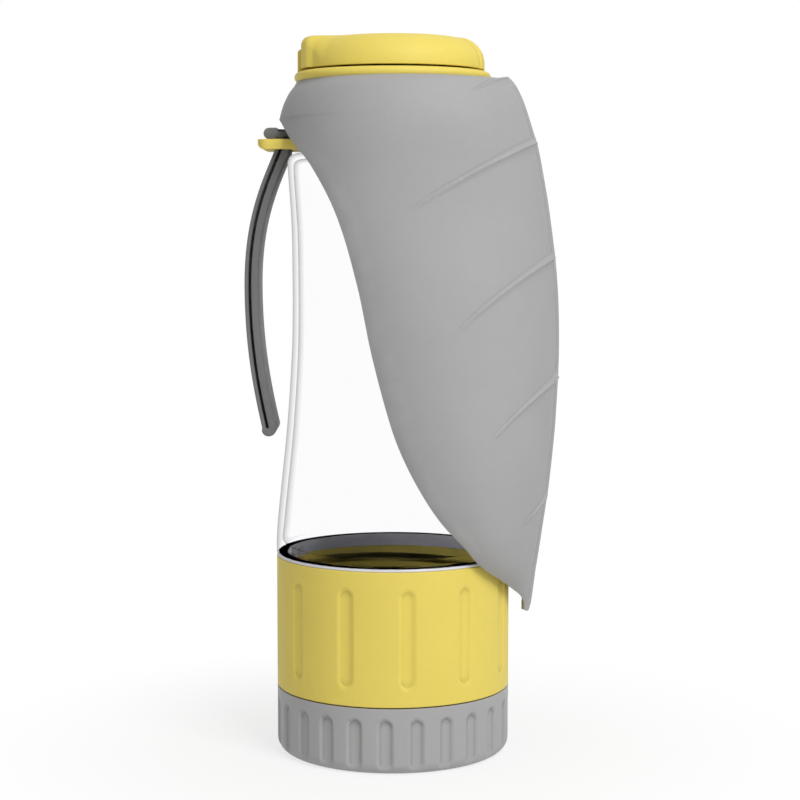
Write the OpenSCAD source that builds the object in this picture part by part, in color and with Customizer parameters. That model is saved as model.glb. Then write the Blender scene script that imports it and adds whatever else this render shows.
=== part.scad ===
// Travel water bottle for dogs: a clear bottle with a folding leaf bowl, a food cup under it,
// a flip lid, and a carry strap. Millimetres, +Z up, origin at the centre of the underside.

/* [Base lid] */
// Outer radius of the base lid and the food cup
outer_r = 37.5; // [35:0.5:42]
// Height of the base lid
base_h = 21; // [18:0.5:30]
// Thickness of the base lid's floor
base_floor_t = 2.4; // [1.6:0.1:4]
// Thickness of the base lid's skirt
base_wall = 2.3; // [1.8:0.1:3.2]
// Radius of the rounded foot edge
foot_round = 4; // [1:0.5:6]
// Number of grip flutes round the base lid
base_flutes = 24; // [8:1:28]
// Width of a base flute
base_flute_w = 4.6; // [2:0.1:6]
// Depth of a base flute
base_flute_d = 0.7; // [0.3:0.1:1]
// Distance from the top of a base flute to the lid's rim
base_flute_margin = 3.4; // [2:0.1:8]
// Thickness of the gasket on the base lid's floor
base_gasket_t = 2; // [1:0.1:3]

/* [Food cup] */
// Gap seen between the base lid's rim and the cup
seam_gap = 0.4; // [0.3:0.1:1]
// Height of the cup between base lid and bottle
cup_h = 42.1; // [36:0.5:60]
// Wall of the cup beside its flutes
cup_wall = 2.9; // [2:0.1:4]
// Wall of the threaded spigot that goes into the base lid
spigot_wall = 2.3; // [1.5:0.1:3]
// Wall of the cup round its upper thread
cup_thread_wall = 3.5; // [3:0.1:5]
// Number of flutes round the cup
cup_flutes = 12; // [6:1:20]
// Width of a cup flute
cup_flute_w = 4.4; // [2:0.1:6]
// Depth of a cup flute
cup_flute_d = 0.6; // [0.3:0.1:1]
// Distance from a cup flute's ends to the cup's edges
cup_flute_margin = 5.5; // [3:0.1:10]
// Thickness of the gasket flange between cup and bottle
cup_gasket_t = 0.9; // [0.6:0.1:2]
// Depth of the gasket's leg inside the cup
cup_gasket_leg = 3.2; // [2:0.1:5]

/* [Bottle] */
// How far the bottle's foot stands out beyond the cup
foot_proud = 0.1; // [0:0.1:0.5]
// How far the bottle's waist is drawn in from its foot
waist_in = 5.55; // [4.5:0.05:6]
// How far the bottle is drawn in under its shoulder
shoulder_in = 4.1; // [3.5:0.1:4.5]
// Height of the bottle from its foot to its shoulder
bottle_h = 127.6; // [110:0.5:160]
// Wall of the bottle
bottle_wall = 1.9; // [1.2:0.1:3]
// Thickness of the bottle's floor
bottle_floor_t = 2.4; // [1.5:0.1:4]
// Radius of the shoulder's rounded corner
shoulder_round = 3; // [1.5:0.5:4]
// Depth of the threaded boss under the bottle
boss_h = 13.4; // [13:0.1:17]
// Wall of the threaded boss
boss_wall = 2; // [1.5:0.1:3]
// How far the shoulder stands out beyond the neck
shoulder_w = 5.5; // [5:0.1:6]
// Height of the neck
neck_h = 20.6; // [20:0.2:26]
// Wall of the neck
neck_wall = 3; // [2.5:0.1:3.5]

/* [Threads] */
// Rise of every thread in one turn
pitch = 4; // [3.5:0.1:5]
// Turns of every thread
thread_turns = 1.25; // [1:0.25:1.25]
// Height of a thread ridge, along the radius
thread_h = 0.95; // [0.7:0.05:1.1]
// Width of a thread ridge at its root
thread_root_w = 1.8; // [1.2:0.1:2]
// Width of a thread ridge at its crest
thread_crest_w = 0.9; // [0.5:0.1:1.1]
// Radial gap between a crest and the wall that it faces
thread_gap = 0.35; // [0.25:0.05:0.5]

/* [Cap] */
// How far the cap's bead flange stands out beyond the neck
flange_out = 3.2; // [2.6:0.1:4]
// Thickness of the flange
flange_t = 3.3; // [2.6:0.1:5]
// Depth of the threaded plug under the flange
plug_h = 11; // [9.5:0.1:14]
// Wall of the threaded plug
plug_wall = 2; // [1.5:0.1:2.6]
// Width of the cap gasket
cap_gasket_w = 1.5; // [1:0.1:2]
// Distance of the spout from the bottle's axis
spout_x = 5; // [0:0.5:8]
// Bore of the spout, as a radius
spout_bore_r = 7; // [5:0.1:8]
// Wall of the spout
spout_wall = 2.2; // [1.5:0.1:3]
// Height of the spout above the flange
spout_h = 4.4; // [3:0.1:5]

/* [Flip lid] */
// How far the lid's edge stands in from the flange's
lid_in = 2.3; // [2:0.1:2.8]
// Height of the lid
lid_h = 9.9; // [9.5:0.1:14]
// Gap between the flange and the lid's rim
lid_gap = 0.7; // [0.5:0.1:1.2]
// Wall of the lid
lid_wall = 1.7; // [1.2:0.1:2.2]
// Radius of the lid's rounded edge
lid_round = 9.2; // [8:0.1:9.5]
// Width of the hinge block
block_w = 29; // [24:0.5:30]
// Length of the hinge block, from its back face inwards
block_len = 13; // [11:0.5:18]
// How far the hinge block's back face stands in from the lid's edge
block_in = 0.3; // [0.1:0.1:0.5]
// Radius of the hinge block's top corner at its back
block_round = 3; // [2:0.1:4]
// Radius of the hinge block's top corners at its sides
block_side_round = 4.5; // [2:0.1:6]
// Width of the hinge lug between the lid's cheeks
lug_w = 12; // [8:0.5:13]
// Side gap of the hinge lug
lug_gap = 0.3; // [0.2:0.05:0.5]
// Radius of the hinge lug's barrel
barrel_r = 3.1; // [2.6:0.1:3.2]
// Radius of the corner at the lug's back
lug_round = 1.2; // [0.8:0.1:2.5]
// Distance from the lid's edge in to the hinge pin's axis
hinge_in = 2.1; // [1.9:0.1:2.4]
// Radius of the hinge pin
pin_r = 1; // [0.8:0.1:1.2]
// Angle that the thumb tab takes of the lid's edge
tab_angle = 33; // [20:1:50]
// How much tighter the thumb tab's edge is rounded than the lid's
tab_tighter = 1.4; // [0.8:0.1:3]
// How far the thumb tab stands out at the lid's rim
tab_rim = 0.15; // [0:0.05:0.5]

/* [Leaf] */
// How far the leaf's root ring reaches in over the neck's rim
root_in = 1.4; // [1:0.1:1.5]
// Height of the leaf's collar
collar_h = 14; // [13:0.1:14.2]
// Length of the leaf from its collar to its tip
leaf_len = 155.6; // [120:0.2:160]
// Furthest reach of the blade from the bottle's axis
leaf_reach = 52.2; // [50:0.5:60]
// Half of the leaf's greatest width, measured round its curve
leaf_half_w = 87.5; // [70:0.5:96]
// Gap between the leaf's sides and the bottle's foot
leaf_side_gap = 3.9; // [3.5:0.1:8]
// Thickness of the leaf
leaf_t = 1.5; // [1.2:0.1:2]
// Height of the midrib
rib_h = 1.2; // [0.5:0.1:2]
// Half of the midrib's width
rib_half_w = 1.7; // [1.2:0.1:3]

/* [Strap] */
// Height of the strap ring
ring_h = 3.1; // [2.6:0.1:4]
// Height of the seat at the neck's root that the strap ring lies on
ring_seat_h = 0.7; // [0.4:0.1:0.9]
// Wall of the strap ring
ring_wall = 3.9; // [3:0.1:4.5]
// Length of the ear, from the ring's bore to its outer end
ear_len = 14; // [13.4:0.1:18]
// Half of the ear's width
ear_half_w = 14; // [12.5:0.5:15]
// Radius of the ear's corners
ear_round = 4; // [2:0.5:6]
// Width of the strap's band
band_w = 20; // [14:0.5:21]
// Thickness of the strap's outer run
outer_run_t = 1.2; // [0.8:0.1:1.6]
// Thickness of the strap's inner run
inner_run_t = 2.3; // [1.6:0.1:2.6]
// Gap between the strap's two runs
run_gap = 0.9; // [0.6:0.1:1.2]
// Distance from the ring's bore to the middle of the slot
slot_out = 6.3; // [6.1:0.1:6.7]
// How far the strap hangs below the ear
strap_drop = 88.9; // [60:0.1:120]
// How far the strap bows outwards
strap_bow = 10; // [6:0.2:16]

/* [Hidden] */

// General
$fn = 96;
over = 1;
fit_gap = 0.1;
soft_gap = 0.05;
run_clear = 0.3;
half_turn = 180;
full_turn = 360;

// Radii that follow one another from the cup up to the lid
bottle_foot_r = outer_r + foot_proud;
waist_r = bottle_foot_r - waist_in;
shoulder_r = bottle_foot_r - shoulder_in;
neck_r = shoulder_r - shoulder_w;
root_r = neck_r - root_in;
flange_r = neck_r + flange_out;
lid_r = flange_r - lid_in;
block_back = lid_r - block_in;
hinge_x = lid_r - hinge_in;

// Heights of the stack, from the table up
cup_z0 = base_h + seam_gap;
cup_z1 = cup_z0 + cup_h;
bottle_z0 = cup_z1 + cup_gasket_t;
bottle_z1 = bottle_z0 + bottle_h;
neck_z1 = bottle_z1 + neck_h;
clamp_h = leaf_t + 2 * soft_gap;
flange_z0 = neck_z1 + clamp_h;
flange_z1 = flange_z0 + flange_t;
lid_z0 = flange_z1 + lid_gap;
lid_z1 = lid_z0 + lid_h;

// Thread sections
thread_seat = 0.4;
thread_lugs = 15;
lug_share = 0.8;
thread_offset_share = 0.42;
thread_inset = 3.4;
thread_foot = thread_root_w / 2 + fit_gap;

// Radii that thread into each other
base_bore_r = outer_r - base_wall;
spigot_r = base_bore_r - thread_h - thread_gap;
spigot_bore_r = spigot_r - spigot_wall;
spigot_z0 = base_floor_t + base_gasket_t;
cup_bore_r = outer_r - cup_wall;
cup_thread_r = outer_r - cup_thread_wall;
boss_r = cup_thread_r - thread_h - thread_gap;
leg_t = 1;
leg_bore_r = cup_thread_r + leg_t + fit_gap;
neck_bore_r = neck_r - neck_wall;
plug_r = neck_bore_r - thread_h - thread_gap;

// Strap ring
ring_bore_r = neck_r + run_clear;
ear_reach = ring_bore_r + ear_len;
slot_x = ring_bore_r + slot_out;
ring_seat_w = 1.1;
ring_z0 = bottle_z1 + ring_seat_h + run_clear;
ring_z1 = ring_z0 + ring_h;
slot_len = outer_run_t + inner_run_t + run_gap + 2 * run_clear;
slot_w = band_w + 4 * run_clear;
ear_under_round = 2.2;

// Bottle outline: height from the foot and place between waist and shoulder or foot
BOTTLE_shares = [[0, 1], [0.026, 1], [0.077, 0.93], [0.18, 0.685], [0.33, 0.333],
    [0.516, 0.054], [0.635, 0]];
SHOULDER_shares = [[0.635, 0], [0.816, 0.172], [0.944, 0.862], [0.969, 1]];
shoulder_inner_round = 2.1;
shoulder_angle = 12;

// Leaf outline, each row a place down the leaf: drop, then the midrib and the middle of the section
// as shares of the leaf's reach, the section's back and side radii as shares of its half width,
// and the edge's distance from the midrib, round the curve, as a share of the leaf's half width
LEAF_shares = [
    [0, 0.818, 0.06, 0.952, 0.952, 1.2],
    [0.044, 0.862, 0.038, 0.94, 0.945, 1.14],
    [0.087, 0.889, 0.038, 0.94, 0.933, 1.083],
    [0.18, 0.937, 0.057, 0.94, 0.925, 0.999],
    [0.32, 0.987, 0.163, 0.94, 0.952, 0.991],
    [0.461, 1, 0.268, 0.952, 0.981, 1],
    [0.604, 0.982, 0.345, 0.94, 1, 0.975],
    [0.675, 0.964, 0.393, 0.916, 0.988, 0.954],
    [0.747, 0.941, 0.431, 0.892, 0.947, 0.902],
    [0.795, 0.92, 0.46, 0.868, 0.899, 0.855],
    [0.835, 0.902, 0.489, 0.818, 0.836, 0.802],
    [0.887, 0.879, 0.54, 0.723, 0.694, 0.745],
    [0.919, 0.864, 0.607, 0.629, 0.525, 0.662],
    [0.945, 0.854, 0.663, 0.566, 0.359, 0.58],
    [0.968, 0.845, 0.734, 0.503, 0.21, 0.496],
    [0.987, 0.837, 0.779, 0.44, 0.094, 0.456],
    [1, 0.831, 0.793, 0.377, 0.039, 0.414]];
section_half_w = bottle_foot_r + leaf_side_gap;
// Arch in the hem over the ear, whose feet stand this far beside the ear
hem_arch_share = 0.044;
arch_lead_share = 0.45;
arch_gap = 11;
arch_angle = half_turn - asin((ear_half_w + arch_gap) / (section_half_w * LEAF_shares[1][4]));
// Collar outline: row, then how far out and down the front and the back have come
COLLAR_shares = [
    [0, 0, 0, 0, 0],
    [0.25, 0.28, 0.002, 0.34, 0.017],
    [0.42, 0.48, 0.005, 0.48, 0.16],
    [0.52, 0.59, 0.02, 0.595, 0.26],
    [0.6, 0.66, 0.085, 0.685, 0.355],
    [0.72, 0.745, 0.23, 0.81, 0.53],
    [0.86, 0.895, 0.58, 0.965, 0.755],
    [1, 1, 1, 1, 1]];
leaf_cols = 36;
collar_rows = 9;
blade_rows = 26;
edge_thin_share = 0.35;
tip_thin_share = 0.35;
mid_crowd_share = 0.35;
rib_start = -0.8;
rib_rise = 4;
probe = 0.01;

// Smooth curve through the rows of a table
function row_at(tab, s, i = 0) = (i >= len(tab) - 2 || s <= tab[i + 1][0]) ? i : row_at(tab, s, i + 1);
function row_slope(tab, c, i) =
    let(a = max(i - 1, 0), b = min(i + 1, len(tab) - 1))
    (tab[b][c] - tab[a][c]) / (tab[b][0] - tab[a][0]);
function smooth(tab, c, s) =
    let(i = row_at(tab, s), h = tab[i + 1][0] - tab[i][0], t = (s - tab[i][0]) / h,
        m0 = row_slope(tab, c, i) * h, m1 = row_slope(tab, c, i + 1) * h)
    (2 * t ^ 3 - 3 * t ^ 2 + 1) * tab[i][c] + (t ^ 3 - 2 * t ^ 2 + t) * m0
        + (3 * t ^ 2 - 2 * t ^ 3) * tab[i + 1][c] + (t ^ 3 - t ^ 2) * m1;
function lerp(a, b, t) = a + (b - a) * t;
function arc(x, z, r, a0, a1, n = 8) =
    [for (i = [0:n]) let(a = lerp(a0, a1, i / n)) [x + r * cos(a), z + r * sin(a)]];

// Outer radius of the bottle at a share of its height
function bottle_r(s) =
    s < BOTTLE_shares[len(BOTTLE_shares) - 1][0]
        ? lerp(waist_r, bottle_foot_r, smooth(BOTTLE_shares, 1, s))
        : lerp(waist_r, shoulder_r, smooth(SHOULDER_shares, 1, s));

// One interrupted thread ridge on a wall of radius r, standing outwards or, with dir -1, inwards:
// short level lugs that climb by the pitch in each turn
module thread(r, z0, dir) {
    section = [[-thread_seat, -thread_root_w / 2], [0, -thread_root_w / 2],
        [thread_h, -thread_crest_w / 2], [thread_h, thread_crest_w / 2],
        [0, thread_root_w / 2], [-thread_seat, thread_root_w / 2]];
    for (i = [0:round(thread_lugs * thread_turns) - 1])
        rotate(i * full_turn / thread_lugs)
            rotate_extrude(angle = full_turn / thread_lugs * lug_share)
                polygon([for (p = section) [r + dir * p[0], z0 + p[1] + pitch * i / thread_lugs]]);
}

// A male ridge lies this far below the female ridge that holds it
thread_under = pitch * thread_offset_share;

// Angles of the first flutes, seen from above
base_flute_turn = -93.4;
cup_flute_turn = -82.8;

// Rod with round ends that cuts a flute of the given width and depth into a round wall
module flute_cutter(wall_r, w, d, z0, z1, open_foot = false) {
    sag = d - w ^ 2 / (8 * wall_r);
    rho = (w ^ 2 / 4 + sag ^ 2) / (2 * sag);
    reach = sqrt(rho ^ 2 - (rho - d) ^ 2);
    bottom = open_foot ? [[0, z0 - over], [rho, z0 - over]] : arc(0, z0 + reach, rho, -90, 0);
    translate([wall_r - d + rho, 0, 0])
        rotate_extrude($fn = 48)
            polygon(concat(bottom, arc(0, z1 - reach, rho, 0, 90)));
}

// Flutes round a wall, the first of them at the angle turn
module flutes(n, turn, wall_r, w, d, z0, z1, open_foot = false) {
    for (i = [0:n - 1]) rotate(turn + i * full_turn / n)
        flute_cutter(wall_r, w, d, z0, z1, open_foot);
}

module base_lid() {
    color("gray") union() {
        difference() {
            rotate_extrude() polygon(concat(
                [[0, 0]], arc(outer_r - foot_round, foot_round, foot_round, -90, 0),
                [[outer_r, base_h], [base_bore_r, base_h], [base_bore_r, base_floor_t], [0, base_floor_t]]));
            flutes(base_flutes, base_flute_turn, outer_r, base_flute_w, base_flute_d,
                0, base_h - base_flute_margin, true);
        }
        thread(base_bore_r, base_thread_z + thread_under, -1);
    }
}
base_thread_z = spigot_z0 + thread_inset;

module base_gasket() {
    color("dimgray") rotate_extrude() translate([spigot_bore_r, base_floor_t])
        square([base_bore_r - spigot_bore_r - thread_h - fit_gap, base_gasket_t]);
}

module food_cup() {
    cone = cup_bore_r - spigot_bore_r;
    thread_z0 = cup_z1 - boss_h;
    step = cup_bore_r - cup_thread_r;
    color("khaki") union() {
        difference() {
            rotate_extrude() polygon([
                [spigot_bore_r, spigot_z0], [spigot_r, spigot_z0], [spigot_r, cup_z0], [outer_r, cup_z0],
                [outer_r, cup_z1], [leg_bore_r, cup_z1], [leg_bore_r, cup_z1 - cup_gasket_leg - fit_gap],
                [cup_thread_r, cup_z1 - cup_gasket_leg - fit_gap], [cup_thread_r, thread_z0],
                [cup_bore_r, thread_z0 - step], [cup_bore_r, cup_z0 + cone], [spigot_bore_r, cup_z0]]);
            flutes(cup_flutes, cup_flute_turn, outer_r, cup_flute_w, cup_flute_d,
                cup_z0 + cup_flute_margin, cup_z1 - cup_flute_margin);
        }
        thread(spigot_r, base_thread_z, 1);
        thread(cup_thread_r, cup_thread_z + thread_under, -1);
    }
}
boss_z0 = bottle_z0 - boss_h;
cup_thread_z = boss_z0 + thread_foot;

module cup_gasket() {
    color("dimgray") rotate_extrude() polygon([
        [cup_thread_r, cup_z1 - cup_gasket_leg], [cup_thread_r + leg_t, cup_z1 - cup_gasket_leg],
        [cup_thread_r + leg_t, cup_z1], [outer_r - fit_gap, cup_z1],
        [outer_r - fit_gap, bottle_z0], [cup_thread_r, bottle_z0]]);
}

module bottle_body() {
    steps = 24;
    share0 = BOTTLE_shares[1][0];
    share1 = SHOULDER_shares[len(SHOULDER_shares) - 1][0];
    wall_shares = [for (i = [0:steps]) lerp(share0, share1, i / steps)];
    corner_z = bottle_z1 - shoulder_round;
    inner_z1 = bottle_z1 - bottle_wall;
    seat_r = ring_bore_r + ring_seat_w;
    outside = concat(
        [[0, bottle_z0], [boss_r - boss_wall, bottle_z0], [boss_r - boss_wall, boss_z0], [boss_r, boss_z0],
            [boss_r, bottle_z0], [bottle_foot_r, bottle_z0]],
        [for (s = wall_shares) [bottle_r(s), bottle_z0 + s * bottle_h]],
        arc(shoulder_r - shoulder_round, corner_z, shoulder_round, shoulder_angle, 90),
        [[seat_r, bottle_z1], [seat_r, bottle_z1 + ring_seat_h], [neck_r, bottle_z1 + ring_seat_h],
            [neck_r, neck_z1], [neck_bore_r, neck_z1]]);
    inside = concat(
        [[neck_bore_r, inner_z1]],
        arc(shoulder_r - bottle_wall - shoulder_inner_round, inner_z1 - shoulder_inner_round,
            shoulder_inner_round, 90, shoulder_angle),
        [for (i = [steps:-1:2]) let(s = wall_shares[i])
            [bottle_r(s) - bottle_wall, bottle_z0 + s * bottle_h - bottle_wall]],
        arc(bottle_foot_r - bottle_wall - bottle_floor_t, bottle_z0 + 2 * bottle_floor_t,
            bottle_floor_t, 0, -90),
        [[0, bottle_z0 + bottle_floor_t]]);
    color("lightcyan", 0.4) union() {
        rotate_extrude() polygon(concat(outside, inside));
        thread(boss_r, cup_thread_z, 1);
        thread(neck_bore_r, plug_thread_z + thread_under, -1);
    }
}
plug_z0 = flange_z0 - plug_h;
plug_thread_z = plug_z0 + thread_foot;

module strap_ring() {
    color("khaki") difference() {
        union() {
            translate([0, 0, ring_z0]) cylinder(r = ring_bore_r + ring_wall, h = ring_h);
            translate([-ear_reach, 0, ring_z0]) linear_extrude(ring_h) ear_outline(ear_len);
        }
        translate([0, 0, ring_z0 - over]) cylinder(r = ring_bore_r, h = ring_h + 2 * over);
        translate([-slot_x - slot_len / 2, -slot_w / 2, ring_z0 - over])
            cube([slot_len, slot_w, ring_h + 2 * over]);
        translate([-ear_reach, ear_half_w + over, ring_z0]) rotate([90, 0, 0])
            linear_extrude(2 * (ear_half_w + over)) difference() {
                translate([-over, -over]) square(ear_under_round + over);
                translate([ear_under_round, ear_under_round]) circle(r = ear_under_round);
            }
    }
}

// Ear seen from above, its outer end at x = 0
module ear_outline(length) {
    for (side = [-1, 1]) translate([ear_round, side * (ear_half_w - ear_round)]) circle(r = ear_round);
    translate([0, -(ear_half_w - ear_round)]) square([length, 2 * (ear_half_w - ear_round)]);
    translate([ear_round, -ear_half_w]) square([length - ear_round, 2 * ear_half_w]);
}

// Middle line of the hanging strap, from the slot to its lowest turn
strap_z0 = ring_z1 + fit_gap;
STRAP_UPPER_shares = [[0, 0], [0.36, 0.1], [1, 0.23], [1, 0.48]];
STRAP_LOWER_shares = [[1, 0.48], [1, 0.69], [0.76, 0.84], [0.47, 0.985]];
function bezier(c, t) =
    (1 - t) ^ 3 * c[0] + 3 * (1 - t) ^ 2 * t * c[1] + 3 * (1 - t) * t ^ 2 * c[2] + t ^ 3 * c[3];
strap_x = slot_x + (inner_run_t - outer_run_t) / 2;
function strap_point(share) =
    [-strap_x - strap_bow * share[0], ring_z0 - strap_drop * share[1]];
strap_steps = 10;
strap_line = [
    for (i = [0:strap_steps]) strap_point(bezier(STRAP_UPPER_shares, i / strap_steps)),
    for (i = [1:strap_steps]) strap_point(bezier(STRAP_LOWER_shares, i / strap_steps))];
function line_dir(p, i) =
    let(a = p[max(i - 1, 0)], b = p[min(i + 1, len(p) - 1)]) (b - a) / norm(b - a);
function beside(p, off) = [for (i = [0:len(p) - 1]) let(d = line_dir(p, i)) p[i] + off * [-d[1], d[0]]];
function reversed(p) = [for (i = [len(p) - 1:-1:0]) p[i]];

// Closed loop beside the strap's middle line, this far to its inner and outer side and further at
// its round foot, and straight up to z at its top
function strap_loop(inner, outer, foot, top) =
    let(p = strap_line, n = len(p) - 1, d = line_dir(p, n), turn = atan2(d[1], d[0]))
    concat([[p[0][0] + inner, top]], beside(p, inner),
        [for (i = [1:7]) let(t = i / 8, a = turn + 90 - t * half_turn)
            p[n] + (lerp(inner, outer, t) + foot * sin(t * half_turn)) * [cos(a), sin(a)]],
        reversed(beside(p, -outer)), [[p[0][0] - outer, top]]);

strap_foot_t = 0.85;
head_in = 4.2;
head_out = 5.9;
head_h = 3.6;
head_pad_w = 3.75;
head_flap_h = 2.4;

module carry_strap() {
    head_r = head_h / 2;
    head_x = -slot_x - head_out + head_r;
    slit = run_gap / 2;
    color("dimgray") translate([0, band_w / 2, 0]) rotate([90, 0, 0]) union() {
        linear_extrude(band_w) difference() {
            polygon(strap_loop(inner_run_t + slit, outer_run_t + slit, strap_foot_t, strap_z0 + head_r));
            polygon(strap_loop(slit, slit, 0, strap_z0));
        }
        translate([head_x, strap_z0]) cube([head_pad_w - head_r, head_h, band_w]);
        translate([head_x, strap_z0]) cube([head_out + head_in - head_r, head_flap_h, band_w]);
        translate([head_x, strap_z0 + head_r]) cylinder(r = head_r, h = band_w);
    }
}

// Leaf surface: u runs from -1 at the root ring to 0 at the hem and 1 at the tip
hem_z = flange_z0 - collar_h;
function collar_point(v, a) =
    let(front_x = lerp(root_r, leaf_reach * LEAF_shares[0][1], smooth(COLLAR_shares, 1, v)),
        back_end = section_half_w * LEAF_shares[0][3] - leaf_reach * LEAF_shares[0][2],
        back_x = lerp(root_r, back_end, smooth(COLLAR_shares, 3, v)),
        front_z = collar_h * smooth(COLLAR_shares, 2, v), back_z = collar_h * smooth(COLLAR_shares, 4, v),
        mid_x = (front_x - back_x) / 2, radius = (front_x + back_x) / 2)
    [mid_x + radius * cos(a), radius * sin(a),
        flange_z0 - soft_gap - lerp(back_z, front_z, (1 + cos(a)) / 2)];
function blade_point(s, a) =
    let(centre = leaf_reach * smooth(LEAF_shares, 2, s), front = leaf_reach * smooth(LEAF_shares, 1, s),
        back = section_half_w * smooth(LEAF_shares, 3, s), side = section_half_w * smooth(LEAF_shares, 4, s))
    [centre + (abs(a) < 90 ? front - centre : back) * cos(a), side * sin(a),
        hem_z - soft_gap - leaf_len * s];
function leaf_point(u, a) = u < 0 ? collar_point(1 + u, a) : blade_point(u, a);
function leaf_normal(u, a) =
    let(du = u > 0.5 ? -probe : probe, across = leaf_point(u, a + 1) - leaf_point(u, a - 1),
        down = (leaf_point(u + du, a) - leaf_point(u, a)) * sign(du), n = cross(down, across))
    n / norm(n);
// Angle of the leaf's edge from the midrib: closed above the hem, then an arch over the ear
EDGE_angles = concat(
    [[0, lerp(half_turn, arch_angle, arch_lead_share)], [hem_arch_share, arch_angle]],
    [for (i = [2:len(LEAF_shares) - 1])
        [LEAF_shares[i][0], LEAF_shares[i][5] * leaf_half_w / section_half_w * half_turn / PI]]);
function edge_angle(u) =
    u <= 0 ? half_turn
    : u < hem_arch_share ? lerp(half_turn, arch_angle, sqrt(u / hem_arch_share))
    : smooth(EDGE_angles, 1, u);
// Columns stand evenly round the root ring and crowd towards the midrib below it
function crowd(q, share) = q * (share + (1 - share) * q ^ 2);
function leaf_angle(u, k) =
    edge_angle(u) * crowd(2 * k / leaf_cols - 1, lerp(1, mid_crowd_share, min(1, u + 1)));
function thickness(u, k) =
    leaf_t * (1 - (u > 0 ? edge_thin_share * abs(2 * k / leaf_cols - 1) ^ 4 : 0))
        * (1 - tip_thin_share * max(0, u) ^ 4);
function rib(u, p) =
    p[0] < 0 ? 0 : rib_h * min(1, max(0, (u - rib_start) * rib_rise)) * exp(-(p[1] / rib_half_w) ^ 2);

leaf_rows = [for (i = [0:collar_rows]) -1 + i / collar_rows,
    for (s = [0.003, 0.012, 0.026]) s,
    for (i = [0:blade_rows]) lerp(hem_arch_share, 1, i / blade_rows)];

module leaf_bowl() {
    n = leaf_cols;
    m = len(leaf_rows);
    outer = [for (u = leaf_rows, k = [0:n]) let(a = leaf_angle(u, k), p = leaf_point(u, a))
        p + leaf_normal(u, a) * rib(u, p)];
    inner = [for (u = leaf_rows, k = [0:n]) let(a = leaf_angle(u, k))
        leaf_point(u, a) - leaf_normal(u, a) * thickness(u, k)];
    lift = m * (n + 1);
    skin = [for (j = [0:m - 2], k = [0:n - 1])
        let(a = leaf_at(j, k), b = leaf_at(j, k + 1), c = leaf_at(j + 1, k + 1), d = leaf_at(j + 1, k))
        each [[a, b, c], [a, c, d]]];
    lining = [for (f = skin) [f[2] + lift, f[1] + lift, f[0] + lift]];
    root = [for (k = [0:n - 1]) let(a = leaf_at(0, k), b = leaf_at(0, k + 1))
        each [[b, a, a + lift], [b, a + lift, b + lift]]];
    hem = [for (j = [collar_rows:m - 2])
        let(a = leaf_at(j, 0), b = leaf_at(j + 1, 0), c = leaf_at(j, n), d = leaf_at(j + 1, n))
        each [[a, b, b + lift], [a, b + lift, a + lift], [d, c, c + lift], [d, c + lift, d + lift]]];
    tip = [for (k = [0:n - 1]) let(a = leaf_at(m - 1, k), b = leaf_at(m - 1, k + 1))
        each [[a, b, b + lift], [a, b + lift, a + lift]]];
    color("silver") polyhedron(concat(outer, inner), concat(skin, lining, root, hem, tip));
}
// Number of a grid point, with the last column joined to the first above the hem
function leaf_at(j, k) = j * (leaf_cols + 1) + ((j <= collar_rows && k == leaf_cols) ? 0 : k);

module cap_gasket() {
    color("dimgray") translate([0, 0, neck_z1]) difference() {
        cylinder(r = root_r - run_clear, h = clamp_h);
        translate([0, 0, -over]) cylinder(r = root_r - run_clear - cap_gasket_w, h = clamp_h + 2 * over);
    }
}

// Hinge axis of the lid
hinge_z = lid_z0 + barrel_r;
pin_fit = 0.06;
pin_press = 0.02;
lug_corner_r = (barrel_r - lug_round) * sqrt(2) + lug_round;

module cap_base() {
    bead = flange_t / 2;
    color("khaki") difference() {
        union() {
            rotate_extrude() polygon(concat(
                [[0, flange_z0], [plug_r - plug_wall, flange_z0], [plug_r - plug_wall, plug_z0],
                    [plug_r, plug_z0], [plug_r, flange_z0]],
                arc(flange_r - bead, flange_z0 + bead, bead, -90, 90, 10), [[0, flange_z1]]));
            thread(plug_r, plug_thread_z, 1);
            translate([spout_x, 0, flange_z1 - over])
                cylinder(r = spout_bore_r + spout_wall, h = spout_h + over);
            hinge_lug();
        }
        translate([spout_x, 0, flange_z0 - over])
            cylinder(r = spout_bore_r, h = flange_t + spout_h + 2 * over);
        pin_hole(lug_w + 2 * over, pin_r + pin_fit);
    }
}

// Lug that the lid turns on, round towards the lid and squared at its back
module hinge_lug() {
    corner = barrel_r - lug_round;
    foot = flange_z1 - hinge_z - over;
    translate([-hinge_x, lug_w / 2, hinge_z]) rotate([90, 0, 0]) linear_extrude(lug_w)
        polygon(concat([[barrel_r, foot]], arc(0, 0, barrel_r, 0, 90, 12),
            arc(-corner, corner, lug_round, 90, half_turn), [[-barrel_r, foot]]));
}

module pin_hole(length, r) {
    translate([-hinge_x, length / 2, hinge_z]) rotate([90, 0, 0]) cylinder(r = r, h = length);
}

lid_inner_r = lid_r - lid_wall;
lid_inner_z = lid_z1 - lid_wall;
lid_inner_round = lid_round - lid_wall;
seal_boss_r = 7;
seal_t = 2;
block_trim = 1.5;
block_trim_r = lid_r + block_trim;

module lid_shell() {
    difference() {
        union() {
            rotate_extrude() polygon(concat([[0, lid_z0], [lid_r, lid_z0]],
                arc(lid_r - lid_round, lid_z1 - lid_round, lid_round, 0, 90, 12), [[0, lid_z1]]));
            hinge_block();
            thumb_tab();
        }
        lid_room();
    }
}

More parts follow.
